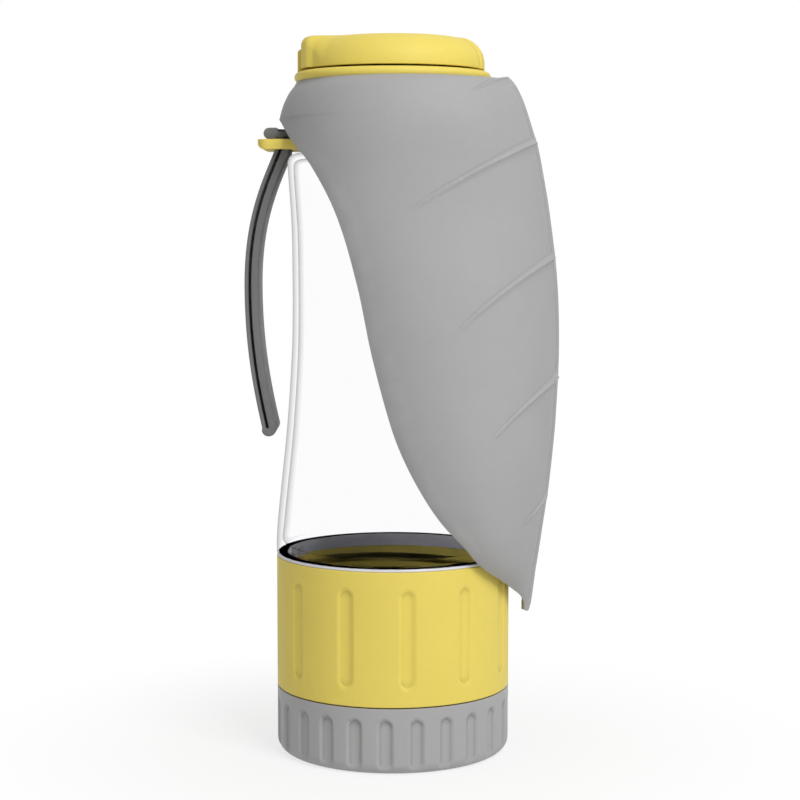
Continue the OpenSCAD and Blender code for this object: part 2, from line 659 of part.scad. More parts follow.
// Solid block behind the lid, its top rounded at the back and at both sides
module hinge_block() {
    side = block_w / 2;
    bend = block_side_round;
    intersection() {
        translate([-block_back, side, lid_z0]) rotate([90, 0, 0]) linear_extrude(block_w)
            polygon(concat([[0, 0]], arc(block_round, lid_h - block_round, block_round, half_turn, 90),
                [[block_len, lid_h], [block_len, 0]]));
        translate([-block_back - over, 0, lid_z0]) rotate([90, 0, 90]) linear_extrude(block_len + 2 * over)
            polygon(concat([[-side, 0]],
                arc(bend - side, lid_h - bend, bend, half_turn, 90),
                arc(side - bend, lid_h - bend, bend, 90, 0), [[side, 0]]));
        translate([0, 0, lid_z0 - over]) cylinder(r = block_trim_r, h = lid_h + 2 * over);
    }
}

// Grip on the lid's edge opposite the hinge, raised because its edge is rounded more tightly
module thumb_tab() {
    tab_round = lid_round - tab_tighter;
    reach = lid_r + tab_rim;
    rotate(-tab_angle / 2) rotate_extrude(angle = tab_angle)
        polygon(concat([[lid_r - lid_round, lid_z0], [reach, lid_z0]],
            arc(reach - tab_round, lid_z1 - tab_round, tab_round, 0, 90, 12), [[lid_r - lid_round, lid_z1]]));
}

// Hollow of the lid, which stops short of the solid hinge block
module lid_room() {
    difference() {
        rotate_extrude() polygon(concat([[0, lid_z0 - over], [lid_inner_r, lid_z0 - over]],
            arc(lid_inner_r - lid_inner_round, lid_inner_z - lid_inner_round, lid_inner_round, 0, 90),
            [[0, lid_inner_z]]));
        translate([-block_back - over, -block_w / 2, lid_z0 - 2 * over])
            cube([block_len + over, block_w, lid_h + 2 * over]);
    }
}

module flip_lid() {
    slot_r = lug_corner_r + run_clear;
    slot = lug_w + 2 * lug_gap;
    color("khaki") difference() {
        union() {
            lid_shell();
            translate([spout_x, 0, lid_inner_z - seal_boss_h])
                cylinder(r = seal_boss_r, h = seal_boss_h + lid_wall / 2);
        }
        translate([-hinge_x, slot / 2, hinge_z]) rotate([90, 0, 0]) linear_extrude(slot) {
            circle(r = slot_r);
            translate([-lid_r, -slot_r]) square([lid_r, 2 * slot_r]);
            translate([0, -slot_r]) square([slot_r, slot_r]);
        }
        translate([0, over - pin_press, 0]) pin_hole(block_w - 2 * pin_end + 2 * over, pin_r + pin_press);
    }
}
pin_end = 1.6;
seal_boss_h = lid_inner_z - flange_z1 - spout_h - run_clear - seal_t;

module hinge_pin() {
    color("lightsteelblue") pin_hole(block_w - 2 * pin_end, pin_r);
}

module lid_seal() {
    seal_z0 = flange_z1 + spout_h + run_clear;
    plug_len = 2.6;
    plug_gap = 0.35;
    color("dimgray") translate([spout_x, 0, 0]) rotate_extrude() polygon([
        [0, seal_z0 - plug_len], [spout_bore_r - plug_gap, seal_z0 - plug_len],
        [spout_bore_r - plug_gap, seal_z0], [spout_bore_r + spout_wall, seal_z0],
        [spout_bore_r + spout_wall, seal_z0 + seal_t], [0, seal_z0 + seal_t]]);
}

base_lid();
base_gasket();
food_cup();
cup_gasket();
bottle_body();
strap_ring();
carry_strap();
leaf_bowl();
cap_gasket();
cap_base();
flip_lid();
hinge_pin();
lid_seal();
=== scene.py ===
# Dresses the travel water bottle for a studio picture: a clear bottle with a folding silicone leaf,
# a flip lid, a food cup, a fluted base lid and a carry strap.
import math

import bpy
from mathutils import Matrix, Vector, kdtree


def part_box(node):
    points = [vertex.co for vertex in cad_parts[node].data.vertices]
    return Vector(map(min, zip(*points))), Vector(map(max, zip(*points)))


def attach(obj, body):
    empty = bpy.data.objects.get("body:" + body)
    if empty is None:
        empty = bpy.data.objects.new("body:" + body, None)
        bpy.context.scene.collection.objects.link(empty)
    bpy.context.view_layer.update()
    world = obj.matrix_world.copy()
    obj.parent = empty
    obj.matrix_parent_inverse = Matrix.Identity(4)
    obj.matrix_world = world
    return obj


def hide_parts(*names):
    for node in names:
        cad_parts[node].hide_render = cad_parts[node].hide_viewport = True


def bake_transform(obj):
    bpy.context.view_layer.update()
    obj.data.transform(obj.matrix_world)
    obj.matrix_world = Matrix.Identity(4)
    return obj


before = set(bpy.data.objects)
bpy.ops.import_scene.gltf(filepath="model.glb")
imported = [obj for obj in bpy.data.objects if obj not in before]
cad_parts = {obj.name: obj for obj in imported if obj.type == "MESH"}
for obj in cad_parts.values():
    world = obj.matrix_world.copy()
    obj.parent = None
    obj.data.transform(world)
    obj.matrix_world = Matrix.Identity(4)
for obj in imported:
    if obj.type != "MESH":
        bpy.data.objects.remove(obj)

bl_info = {
    "name": "Travel Water Bottle",
    "version": (1, 0, 0),
    "blender": (4, 5, 0),
    "location": "View3D > Sidebar > Bottle",
    "description": "Models and finishes the pieces of a travel water bottle for dogs",
    "category": "Add Mesh",
}

MM = 0.001
FULL = 2 * math.pi
MERGE = 0.002 * MM
THREAD_OVERLAP = 0.3 * MM
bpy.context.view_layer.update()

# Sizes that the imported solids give
BASE_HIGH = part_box("base_lid")[1]
CUP_LOW, CUP_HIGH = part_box("food_cup")
SEAL_LOW, SEAL_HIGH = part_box("cup_gasket")
BODY_LOW, BODY_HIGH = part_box("bottle_body")
RING_LOW, RING_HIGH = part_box("strap_ring")
LEAF_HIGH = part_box("leaf_bowl")[1]
CAP_LOW, CAP_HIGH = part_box("cap_base")
LID_LOW, LID_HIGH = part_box("flip_lid")
PIN_LOW, PIN_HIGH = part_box("hinge_pin")


def length(name, description, default):
    return bpy.props.FloatProperty(
        name=name, description=description, default=default, unit="LENGTH", precision=5)


def shade(name, description, default):
    return bpy.props.FloatVectorProperty(
        name=name, description=description, default=default, subtype="COLOR", size=3, min=0.0, max=1.0)


class BottleSizes(bpy.types.PropertyGroup):
    base_flute_width: length("Base flute width", "Width of a grip flute on the base lid", 4.6 * MM)
    base_flute_depth: length("Base flute depth", "Depth of a grip flute on the base lid", 1.0 * MM)
    base_flute_top: length("Base flute top", "Height at which the base flutes end", 17.6 * MM)
    cup_flute_width: length("Cup flute width", "Width of a flute on the food cup", 5.0 * MM)
    cup_flute_depth: length("Cup flute depth", "Depth of a flute on the food cup", 0.7 * MM)
    cup_flute_margin: length("Cup flute margin", "Distance from a cup flute's ends to the edges", 5.4 * MM)
    bottle_wall: length("Bottle wall", "Thickness of the clear wall", 1.9 * MM)
    leaf_thickness: length("Leaf thickness", "Thickness of the silicone leaf", 1.5 * MM)
    rib_height: length("Midrib height", "How far the midrib stands proud", 1.2 * MM)
    vein_height: length("Vein height", "How far a side vein stands proud", 1.6 * MM)
    vein_band: length("Vein band", "Width of a side vein's upper face beside the midrib", 2.1 * MM)
    vein_skirt: length("Vein skirt", "Width of the slope under a side vein beside the midrib", 3.4 * MM)
    outer_run: length("Strap's outer run", "Thickness of the strap's outer run", 1.2 * MM)
    inner_run: length("Strap's inner run", "Thickness of the strap's inner run", 2.3 * MM)
    thread_pitch: length("Thread pitch", "Rise of the screw threads in one turn", 4.0 * MM)


class BottleColours(bpy.types.PropertyGroup):
    yellow: shade("Yellow plastic", "Colour of the cup, ring, cap and lid", (0.79, 0.635, 0.125))
    grey: shade("Grey plastic", "Colour of the base lid", (0.377, 0.377, 0.38))
    leaf: shade("Leaf silicone", "Colour of the leaf", (0.375, 0.375, 0.378))
    # Painted shade: the strap is the leaf's silicone, darkened here for the shadow that it hangs in
    strap: shade("Strap silicone with painted shade", "Colour of the carry strap", (0.16, 0.16, 0.165))
    seal: shade("Seal silicone", "Colour of the gaskets", (0.2, 0.2, 0.21))
    # Painted highlight: a pale grey for the gasket, so that its edge shows as the bright line at the cup's
    # rim
    highlight_seal: shade("Pale seal with painted highlight", "Colour of the gasket between the cup and the bottle", (0.7, 0.7, 0.76))
    clear: shade("Clear plastic", "Tint of the bottle where it is seen straight on", (0.985, 0.985, 0.99))
    # Painted shade: the grey that the clear wall takes where it is seen edge on
    edge: shade("Clear plastic edge shade", "Tint of the bottle where it is seen edge on", (0.48, 0.48, 0.49))
    floor: shade("Studio floor", "Colour of the floor", (0.9, 0.9, 0.9))


def sizes():
    return bpy.context.scene.bottle_sizes


def colours():
    return bpy.context.scene.bottle_colours


# Small tools that the pieces share

def deselect_all():
    if bpy.context.object and bpy.context.object.mode != "OBJECT":
        bpy.ops.object.mode_set(mode="OBJECT")
    bpy.ops.object.select_all(action="DESELECT")


def pick(piece):
    deselect_all()
    piece.select_set(True)
    bpy.context.view_layer.objects.active = piece


def arc(x, z, r, a0, a1, n=8):
    """Points of an arc about x, z, with its angles in degrees."""
    angles = [math.radians(a0 + (a1 - a0) * i / n) for i in range(n + 1)]
    return [(x + r * math.cos(a), z + r * math.sin(a)) for a in angles]


def blend_value(a, b, t):
    return a + (b - a) * t


def curve(start, leave, end, meet, t):
    """Place at t on the curve from start to end that leaves and meets them with the slopes given."""
    return ((2 * t ** 3 - 3 * t ** 2 + 1) * start + (t ** 3 - 2 * t ** 2 + t) * leave
            + (3 * t ** 2 - 2 * t ** 3) * end + (t ** 3 - t ** 2) * meet)


def row_slope(table, column, i):
    """Slope of a column of a table about its row i."""
    a, b = max(i - 1, 0), min(i + 1, len(table) - 1)
    return (table[b][column] - table[a][column]) / (table[b][0] - table[a][0])


def smooth(table, column, s):
    """Smooth curve through the rows of a table, read at s."""
    i = 0
    while i < len(table) - 2 and s > table[i + 1][0]:
        i += 1
    h = table[i + 1][0] - table[i][0]
    t = (s - table[i][0]) / h
    leave, meet = row_slope(table, column, i) * h, row_slope(table, column, i + 1) * h
    return curve(table[i][column], leave, table[i + 1][column], meet, t)


def trace(name, points):
    """New piece: a line, each point extruded from the last."""
    deselect_all()
    bpy.ops.mesh.primitive_plane_add(size=1 * MM, location=(0, 0, 0))
    piece = bpy.context.object
    piece.name = name
    bpy.ops.object.mode_set(mode="EDIT")
    bpy.ops.mesh.select_mode(type="VERT")
    bpy.ops.mesh.select_all(action="SELECT")
    bpy.ops.mesh.merge(type="CENTER")
    bpy.ops.transform.translate(value=points[0])
    for last, point in zip(points, points[1:]):
        step = [b - a for a, b in zip(last, point)]
        bpy.ops.mesh.extrude_region_move(TRANSFORM_OT_translate={"value": step})
    bpy.ops.mesh.select_all(action="SELECT")
    return piece


def lathe(name, outline, steps=192):
    """New piece: a closed outline of radius and height, spun about the bottle's axis."""
    piece = trace(name, [(x, 0, z) for x, z in outline])
    bpy.ops.mesh.spin(steps=steps, angle=FULL, center=(0, 0, 0), axis=(0, 0, 1))
    close_up()
    return piece


def close_up():
    """Merges doubled points, turns every face outwards and leaves edit mode."""
    bpy.ops.mesh.select_all(action="SELECT")
    bpy.ops.mesh.remove_doubles(threshold=MERGE)
    bpy.ops.mesh.normals_make_consistent(inside=False)
    bpy.ops.object.mode_set(mode="OBJECT")


def edit(piece, operator, **values):
    """Runs one mesh operator on the whole of a piece."""
    pick(piece)
    bpy.ops.object.mode_set(mode="EDIT")
    bpy.ops.mesh.select_all(action="SELECT")
    operator(**values)
    bpy.ops.object.mode_set(mode="OBJECT")


def extrude(name, points, step):
    """New piece: a flat outline, closed, filled and extruded by step."""
    piece = trace(name, points + points[:1])
    bpy.ops.mesh.edge_face_add()
    bpy.ops.mesh.extrude_region_move(TRANSFORM_OT_translate={"value": step})
    close_up()
    return piece


def prism(name, outline, y0, y1):
    """New piece: an outline in the XZ plane, extruded from y0 to y1."""
    return extrude(name, [(x, y0, z) for x, z in outline], (0, y1 - y0, 0))


def slab(name, outline, z0, z1):
    """New piece: an outline in the XY plane, extruded from z0 to z1."""
    return extrude(name, [(x, y, z0) for x, y in outline], (0, 0, z1 - z0))


def cylinder(sides, radius, depth, place, rotation=(0, 0, 0)):
    """New cylinder with its middle at place."""
    deselect_all()
    bpy.ops.mesh.primitive_cylinder_add(vertices=sides, radius=radius, depth=depth, location=place,
                                        rotation=rotation)
    bpy.ops.object.transform_apply(location=True, rotation=True)
    return bpy.context.object


def apply(piece, kind, **values):
    pick(piece)
    modifier = piece.modifiers.new(kind.title(), kind)
    for name, value in values.items():
        setattr(modifier, name, value)
    bpy.ops.object.modifier_apply(modifier=modifier.name)


def combine(piece, operation, *tools):
    """Cuts the tools out of a piece, or makes them part of it."""
    for tool in tools:
        apply(piece, "BOOLEAN", object=tool, operation=operation, solver="EXACT")
        bpy.data.objects.remove(tool)


def round_edges(piece, width, angle=35, segments=3):
    apply(piece, "BEVEL", width=width, segments=segments, limit_method="ANGLE",
          angle_limit=math.radians(angle), use_clamp_overlap=True, harden_normals=False)


def finish(piece, finish_name, body, slot_name, *nodes, smooth_angle=40):
    """Gives a piece its shading and material, and the body that it rides on. The slot is not used."""
    pick(piece)
    bpy.ops.object.shade_smooth_by_angle(angle=math.radians(smooth_angle))
    piece.data.materials.clear()
    piece.data.materials.append(material(finish_name))
    piece.data.name = piece.name
    if nodes:
        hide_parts(*nodes)
    if body:
        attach(piece, body)
    return piece


def press_flutes(piece, wall_r, count, turn, width, depth, z0, z1, softness):
    """Presses round-ended flutes into the outer wall, the first at the angle turn."""
    group = piece.vertex_groups.new(name="flutes")
    half = width / 2
    pitch = FULL / count
    for v in piece.data.vertices:
        r = math.hypot(v.co.x, v.co.y)
        if r < wall_r - 4 * depth:
            continue
        off = (math.atan2(v.co.y, v.co.x) - turn + pitch / 2) % pitch - pitch / 2
        beyond = max(0, z0 + half - v.co.z, v.co.z - (z1 - half))
        q = math.hypot(off * wall_r, beyond) / half
        if q < 1:
            floor_r = wall_r - depth * (1 - q * q) ** softness
            group.add([v.index], max(0, min(1, (r - floor_r) / depth)), "REPLACE")
    apply(piece, "DISPLACE", vertex_group="flutes", strength=-depth, mid_level=0, direction="NORMAL")


def add_thread(piece, r, z0, turns):
    """Adds a screw ridge that stands out from a wall of radius r."""
    inside, root, crest = r - THREAD_OVERLAP, THREAD_ROOT / 2, THREAD_CREST / 2
    ridge = trace("ridge", [(inside, 0, z0 - root), (r, 0, z0 - root), (r + THREAD_H, 0, z0 - crest),
                            (r + THREAD_H, 0, z0 + crest), (r, 0, z0 + root), (inside, 0, z0 + root),
                            (inside, 0, z0 - root)])
    close_up()
    steps = int(72 * turns)
    apply(ridge, "SCREW", angle=turns * FULL, screw_offset=turns * sizes().thread_pitch, steps=steps,
          render_steps=steps, use_merge_vertices=False)
    edit(ridge, bpy.ops.mesh.fill_holes, sides=0)
    bpy.ops.object.mode_set(mode="EDIT")
    close_up()
    join(piece, ridge)


def join(piece, *others):
    pick(piece)
    for other in others:
        other.select_set(True)
    bpy.ops.object.join()


# Finishes
GRAIN_HEIGHT = 0.02 * MM


def feed(tree, node, sockets):
    """Sets each named socket of a node to a value, or links it to an output."""
    for name, value in sockets.items():
        if isinstance(value, bpy.types.NodeSocket):
            tree.links.new(value, node.inputs[name])
        else:
            node.inputs[name].default_value = value


def add_node(tree, kind, sockets=None, **settings):
    """Adds a node with its settings and sockets, and gives its outputs."""
    node = tree.nodes.new("ShaderNode" + kind)
    for name, value in settings.items():
        setattr(node, name, value)
    feed(tree, node, sockets or {})
    return node.outputs


def ramp(tree, value, *stops):
    """Colour that runs between two stops, each a place and a colour."""
    node = tree.nodes.new("ShaderNodeValToRGB")
    for element, (place, colour) in zip(node.color_ramp.elements, stops):
        element.position = place
        element.color = (*colour, 1)
    feed(tree, node, {"Fac": value})
    return node.outputs["Color"]


def new_material(name):
    """New material, its node tree and its shader."""
    made = bpy.data.materials.new(name)
    made.use_nodes = True
    return made, made.node_tree, made.node_tree.nodes["Principled BSDF"]


def moulded_skin():
    """Node group: slow mottling, worn edges, painted shade in the creases and a fine grain, all in the
    piece's own space.
    """
    group = bpy.data.node_groups.get("moulded skin")
    if group:
        return group
    group = bpy.data.node_groups.new("moulded skin", "ShaderNodeTree")
    for kind, name, default in (
            ("Color", "Colour", (0.5, 0.5, 0.5, 1)), ("Color", "Worn colour", (0.6, 0.6, 0.6, 1)),
            ("Float", "Mottling", 0.06), ("Float", "Roughness", 0.4), ("Float", "Unevenness", 0.08),
            ("Float", "Grain scale", 1800.0), ("Float", "Wear", 0.5), ("Float", "Crease shade", 0.5)):
        socket = group.interface.new_socket(name=name, in_out="INPUT", socket_type="NodeSocket" + kind)
        socket.default_value = default
    for kind, name in (("Color", "Colour"), ("Float", "Roughness"), ("Float", "Height")):
        group.interface.new_socket(name=name, in_out="OUTPUT", socket_type="NodeSocket" + kind)
    given = group.nodes.new("NodeGroupInput").outputs
    place = add_node(group, "TexCoord")["Object"]
    bend = add_node(group, "NewGeometry")["Pointiness"]

    def noise(scale, detail, roughness=0.5):
        return add_node(group, "TexNoise", {"Vector": place, "Scale": scale, "Detail": detail,
                                            "Roughness": roughness})["Fac"]

    def spread(value, low, high):
        return add_node(group, "MapRange", {"Value": value, "From Min": low, "From Max": high})["Result"]

    def work(operation, a, b):
        return add_node(group, "Math", {0: a, 1: b}, operation=operation)[0]

    # Slow clouds and finer specks darken the colour a little
    clouds = spread(noise(38.0, 3.0), 0.3, 0.7)
    specks = spread(noise(420.0, 2.0), 0.35, 0.65)
    cloudy = work("ADD", work("MULTIPLY", clouds, 0.75), work("MULTIPLY", specks, 0.25))
    darker = work("SUBTRACT", 1.0, work("MULTIPLY", given["Mottling"], cloudy))
    # Painted shade: the creases are darkened where shade falls
    creases = spread(bend, 0.495, 0.46)
    crease_shaded = work("SUBTRACT", 1.0, work("MULTIPLY", given["Crease shade"], creases))
    shaded = work("MULTIPLY", darker, crease_shaded)
    tone = add_node(group, "VectorMath", {"Vector": given["Colour"], "Scale": shaded},
                    operation="SCALE")["Vector"]
    # Handled edges are a little paler
    patchy = work("MULTIPLY", spread(bend, 0.505, 0.56), spread(noise(160.0, 4.0), 0.4, 0.62))
    worn = add_node(group, "Mix", {"Factor": work("MULTIPLY", patchy, given["Wear"]), "A": tone,
                                   "B": given["Worn colour"]}, data_type="RGBA")["Result"]
    # Gloss wanders, and the grain lifts the skin
    swing = work("SUBTRACT", spread(noise(75.0, 4.0, 0.6), 0.3, 0.7), 0.5)
    gloss = work("ADD", given["Roughness"], work("MULTIPLY", swing, given["Unevenness"]))
    grain = noise(given["Grain scale"], 2.0, 0.6)
    feed(group, group.nodes.new("NodeGroupOutput"), {"Colour": worn, "Roughness": gloss, "Height": grain})
    return group


def moulded(name, colour, roughness, mottling=0.06, wear=0.5, crease_shade=0.5, grain_scale=1800.0, specular=0.5,
            sheen=0.0):
    """Material of a moulded plastic or silicone piece."""
    made, tree, shader = new_material(name)
    worn = [min(1, c * 1.12 + 0.02) for c in colour]
    skin = add_node(tree, "Group", {
        "Colour": (*colour, 1), "Worn colour": (*worn, 1), "Mottling": mottling, "Roughness": roughness,
        "Grain scale": grain_scale, "Wear": wear, "Crease shade": crease_shade}, node_tree=moulded_skin())
    bump = add_node(tree, "Bump", {"Strength": 0.5, "Distance": GRAIN_HEIGHT, "Height": skin["Height"]})
    feed(tree, shader, {
        "Specular IOR Level": specular, "Sheen Weight": sheen, "Base Color": skin["Colour"],
        "Roughness": skin["Roughness"], "Normal": bump["Normal"]})
    return made


def clear_plastic(name, edge):
    """Clear moulded plastic that takes the colour edge where it is seen edge on: painted shade for the dark
    lines at a clear wall's edges.
    """
    made, tree, shader = new_material(name)
    facing = add_node(tree, "LayerWeight", {"Blend": 0.5})["Facing"]
    # Painted shade: the colour runs to grey where the wall is seen edge on
    edge_shaded_tint = ramp(tree, facing, (0.64, colours().clear), (0.9, edge))
    place = add_node(tree, "TexCoord")["Object"]
    haze = add_node(tree, "TexNoise", {"Vector": place, "Scale": 60.0, "Detail": 4.0})["Fac"]
    gloss = add_node(tree, "MapRange", {"Value": haze, "From Min": 0.35, "From Max": 0.7, "To Min": 0.0,
                                        "To Max": 0.05})["Result"]
    feed(tree, shader, {"Transmission Weight": 1.0, "IOR": 1.002, "Base Color": edge_shaded_tint, "Roughness": gloss})
    return made


def brushed_steel(name):
    """Steel of the hinge pin, brushed along its length."""
    made, tree, shader = new_material(name)
    place = add_node(tree, "TexCoord")["Object"]
    stretch = add_node(tree, "Mapping", {"Vector": place, "Scale": (900, 40, 900)})["Vector"]
    streaks = add_node(tree, "TexNoise", {"Vector": stretch, "Scale": 3.0})["Fac"]
    tone = ramp(tree, streaks, (0, (0.42, 0.43, 0.45)), (1, (0.68, 0.69, 0.7)))
    gloss = add_node(tree, "MapRange", {"Value": streaks, "To Min": 0.2, "To Max": 0.4})["Result"]
    feed(tree, shader, {"Metallic": 1.0, "Base Color": tone, "Roughness": gloss})
    return made


def material(name):
    """One material for each finish, made when it is first asked for."""
    made = bpy.data.materials.get(name)
    if made and made.get("bottle_finish"):
        return made
    tone = colours()
    # Each finish below sets how strongly painted shade darkens its creases
    skins = {
        "yellow plastic": dict(colour=tone.yellow, roughness=0.55, mottling=0.05, wear=0.35, specular=0.25),
        "smooth yellow plastic": dict(colour=tone.yellow, roughness=0.55, mottling=0.05, wear=0, crease_shade=0,
                                      specular=0.25),
        "grey plastic": dict(colour=tone.grey, roughness=0.5, wear=0.4),
        "leaf silicone": dict(colour=tone.leaf, roughness=0.62, mottling=0.05, wear=0.3, crease_shade=0.3,
                              grain_scale=2600.0, specular=0.25),
        # Painted shade: the strap's darker grey stands for the shadow that it hangs in
        "shaded strap silicone": dict(colour=tone.strap, roughness=0.55, mottling=0.1, wear=0.4, grain_scale=2600.0,
                               specular=0.4, sheen=0.1),
        "seal silicone": dict(colour=tone.seal, roughness=0.5, mottling=0.1, wear=0.3),
        "painted highlight seal silicone": dict(colour=tone.highlight_seal, roughness=0.45, mottling=0.04, wear=0.2),
    }
    if name in skins:
        made = moulded(name, **skins[name])
    elif name == "pin steel":
        made = brushed_steel(name)
    else:
        made = clear_plastic(name, tone.edge if name == "clear plastic" else tone.clear)
    made["bottle_finish"] = True
    return made


# Base lid and food cup
BASE_WALL = 2.3 * MM
BASE_FLOOR = 2.4 * MM
FOOT_ROUND = 4 * MM
RIM_ROUND = 0.25 * MM
BASE_FLUTES = 24
BASE_FLUTE_TURN = math.radians(-93.4)
CUP_WALL = 2.9 * MM
CUP_FLUTES = 12
CUP_FLUTE_TURN = math.radians(-82.8)
SPIGOT_R = 33.9 * MM
SPIGOT_WALL = 2.3 * MM
THREAD_R = 34.0 * MM
THREAD_ROOM = 13.4 * MM
GASKET_LEG = 3.3 * MM
LEG_R = 35.1 * MM
CUP_GAP = 0.4 * MM
THREAD_H = 0.9 * MM
THREAD_ROOT = 1.8 * MM
THREAD_CREST = 0.9 * MM


def upright(z0, z1, pieces):
    """Heights that divide an upright wall evenly."""
    return [blend_value(z0, z1, i / pieces) for i in range(1, pieces)]


def make_base_lid():
    s = sizes()
    r, top, bore = BASE_HIGH.x, BASE_HIGH.z, BASE_HIGH.x - BASE_WALL
    outline = [(0, 0)]
    outline += arc(r - FOOT_ROUND, FOOT_ROUND, FOOT_ROUND, -90, 0, 10)
    outline += [(r, z) for z in upright(FOOT_ROUND, top - RIM_ROUND, 30)]
    outline += arc(r - RIM_ROUND, top - RIM_ROUND, RIM_ROUND, 0, 90, 4)
    outline += arc(bore + RIM_ROUND / 2, top - RIM_ROUND / 2, RIM_ROUND / 2, 90, 180, 3)
    outline += arc(bore - 1 * MM, BASE_FLOOR + 1 * MM, 1 * MM, 0, -90, 5)
    outline += [(0, BASE_FLOOR)]
    lid = lathe("base_lid_shell", outline, steps=576)
    press_flutes(lid, r, BASE_FLUTES, BASE_FLUTE_TURN, s.base_flute_width, s.base_flute_depth,
                 -FOOT_ROUND, s.base_flute_top, 0.4)
    finish(lid, "grey plastic", "base_lid", "grey_plastic", "base_lid", smooth_angle=50)


def make_food_cup():
    s = sizes()
    r, low, high = CUP_HIGH.x, BASE_HIGH.z + CUP_GAP, CUP_HIGH.z
    spigot_bore, cup_bore = SPIGOT_R - SPIGOT_WALL, r - CUP_WALL
    cone = cup_bore - spigot_bore
    outline = [(spigot_bore, CUP_LOW.z), (SPIGOT_R, CUP_LOW.z), (SPIGOT_R, low)]
    outline += arc(r - RIM_ROUND, low + RIM_ROUND, RIM_ROUND, -90, 0, 4)
    outline += [(r, z) for z in upright(low + RIM_ROUND, high - RIM_ROUND, 70)]
    outline += arc(r - RIM_ROUND, high - RIM_ROUND, RIM_ROUND, 0, 90, 4)
    outline += [(LEG_R, high), (LEG_R, high - GASKET_LEG), (THREAD_R, high - GASKET_LEG),
                (THREAD_R, high - THREAD_ROOM), (cup_bore, high - THREAD_ROOM - (cup_bore - THREAD_R)),
                (cup_bore, low + cone), (spigot_bore, low), (spigot_bore, CUP_LOW.z)]
    cup = lathe("food_cup_shell", outline, steps=480)
    press_flutes(cup, r, CUP_FLUTES, CUP_FLUTE_TURN, s.cup_flute_width, s.cup_flute_depth,
                 low + s.cup_flute_margin, high - s.cup_flute_margin, 0.6)
    add_thread(cup, SPIGOT_R, CUP_LOW.z + 3.4 * MM, 1.25)
    finish(cup, "yellow plastic", "cup", "yellow_plastic", "food_cup")


def make_cup_gasket():
    r, low, high, leg = SEAL_HIGH.x, SEAL_LOW.z, SEAL_HIGH.z, SEAL_LOW.z + 3.2 * MM
    bead = (high - leg) / 2
    outline = [(THREAD_R, low), (LEG_R - 0.1 * MM, low), (LEG_R - 0.1 * MM, leg)]
    outline += arc(r - bead, leg + bead, bead, -90, 90, 6)
    outline += [(THREAD_R + bead, high), (THREAD_R, high), (THREAD_R, low)]
    gasket = lathe("cup_gasket_ring", outline)
    # Painted highlight: the gasket is pale, so that its outer bead reads as the bright line at the cup's rim
    finish(gasket, "painted highlight seal silicone", "cup_gasket", "seal_silicone", "cup_gasket")


# Bottle: height from its foot, then place between waist and foot or shoulder
BOTTLE_SHARES = [[0, 1], [0.026, 1], [0.077, 0.93], [0.18, 0.685], [0.33, 0.333], [0.516, 0.054], [0.635, 0]]
SHOULDER_SHARES = [[0.635, 0], [0.816, 0.172], [0.944, 0.862], [0.969, 1]]
WAIST_R = 32.05 * MM
SHOULDER_R = 33.5 * MM
SHOULDER_ROUND = 3 * MM
BOTTLE_FLOOR = 2.4 * MM
NECK_R = 28 * MM
NECK_WALL = 3 * MM
BOSS_R = 32.7 * MM
BOSS_WALL = 2 * MM
BOTTLE_FOOT = SEAL_HIGH.z
BOTTLE_H = 127.6 * MM
BOTTLE_TOP = BOTTLE_FOOT + BOTTLE_H
SEAT_R = 29.4 * MM
SEAT_H = 0.7 * MM
NECK_ROUND = 0.4 * MM
FOOT_EDGE = 0.8 * MM
INNER_ROUND = 2.1 * MM
STATIONS = 40


def bottle_r(s):
    if s < BOTTLE_SHARES[-1][0]:
        return blend_value(WAIST_R, BODY_HIGH.x, smooth(BOTTLE_SHARES, 1, s))
    return blend_value(WAIST_R, SHOULDER_R, smooth(SHOULDER_SHARES, 1, s))


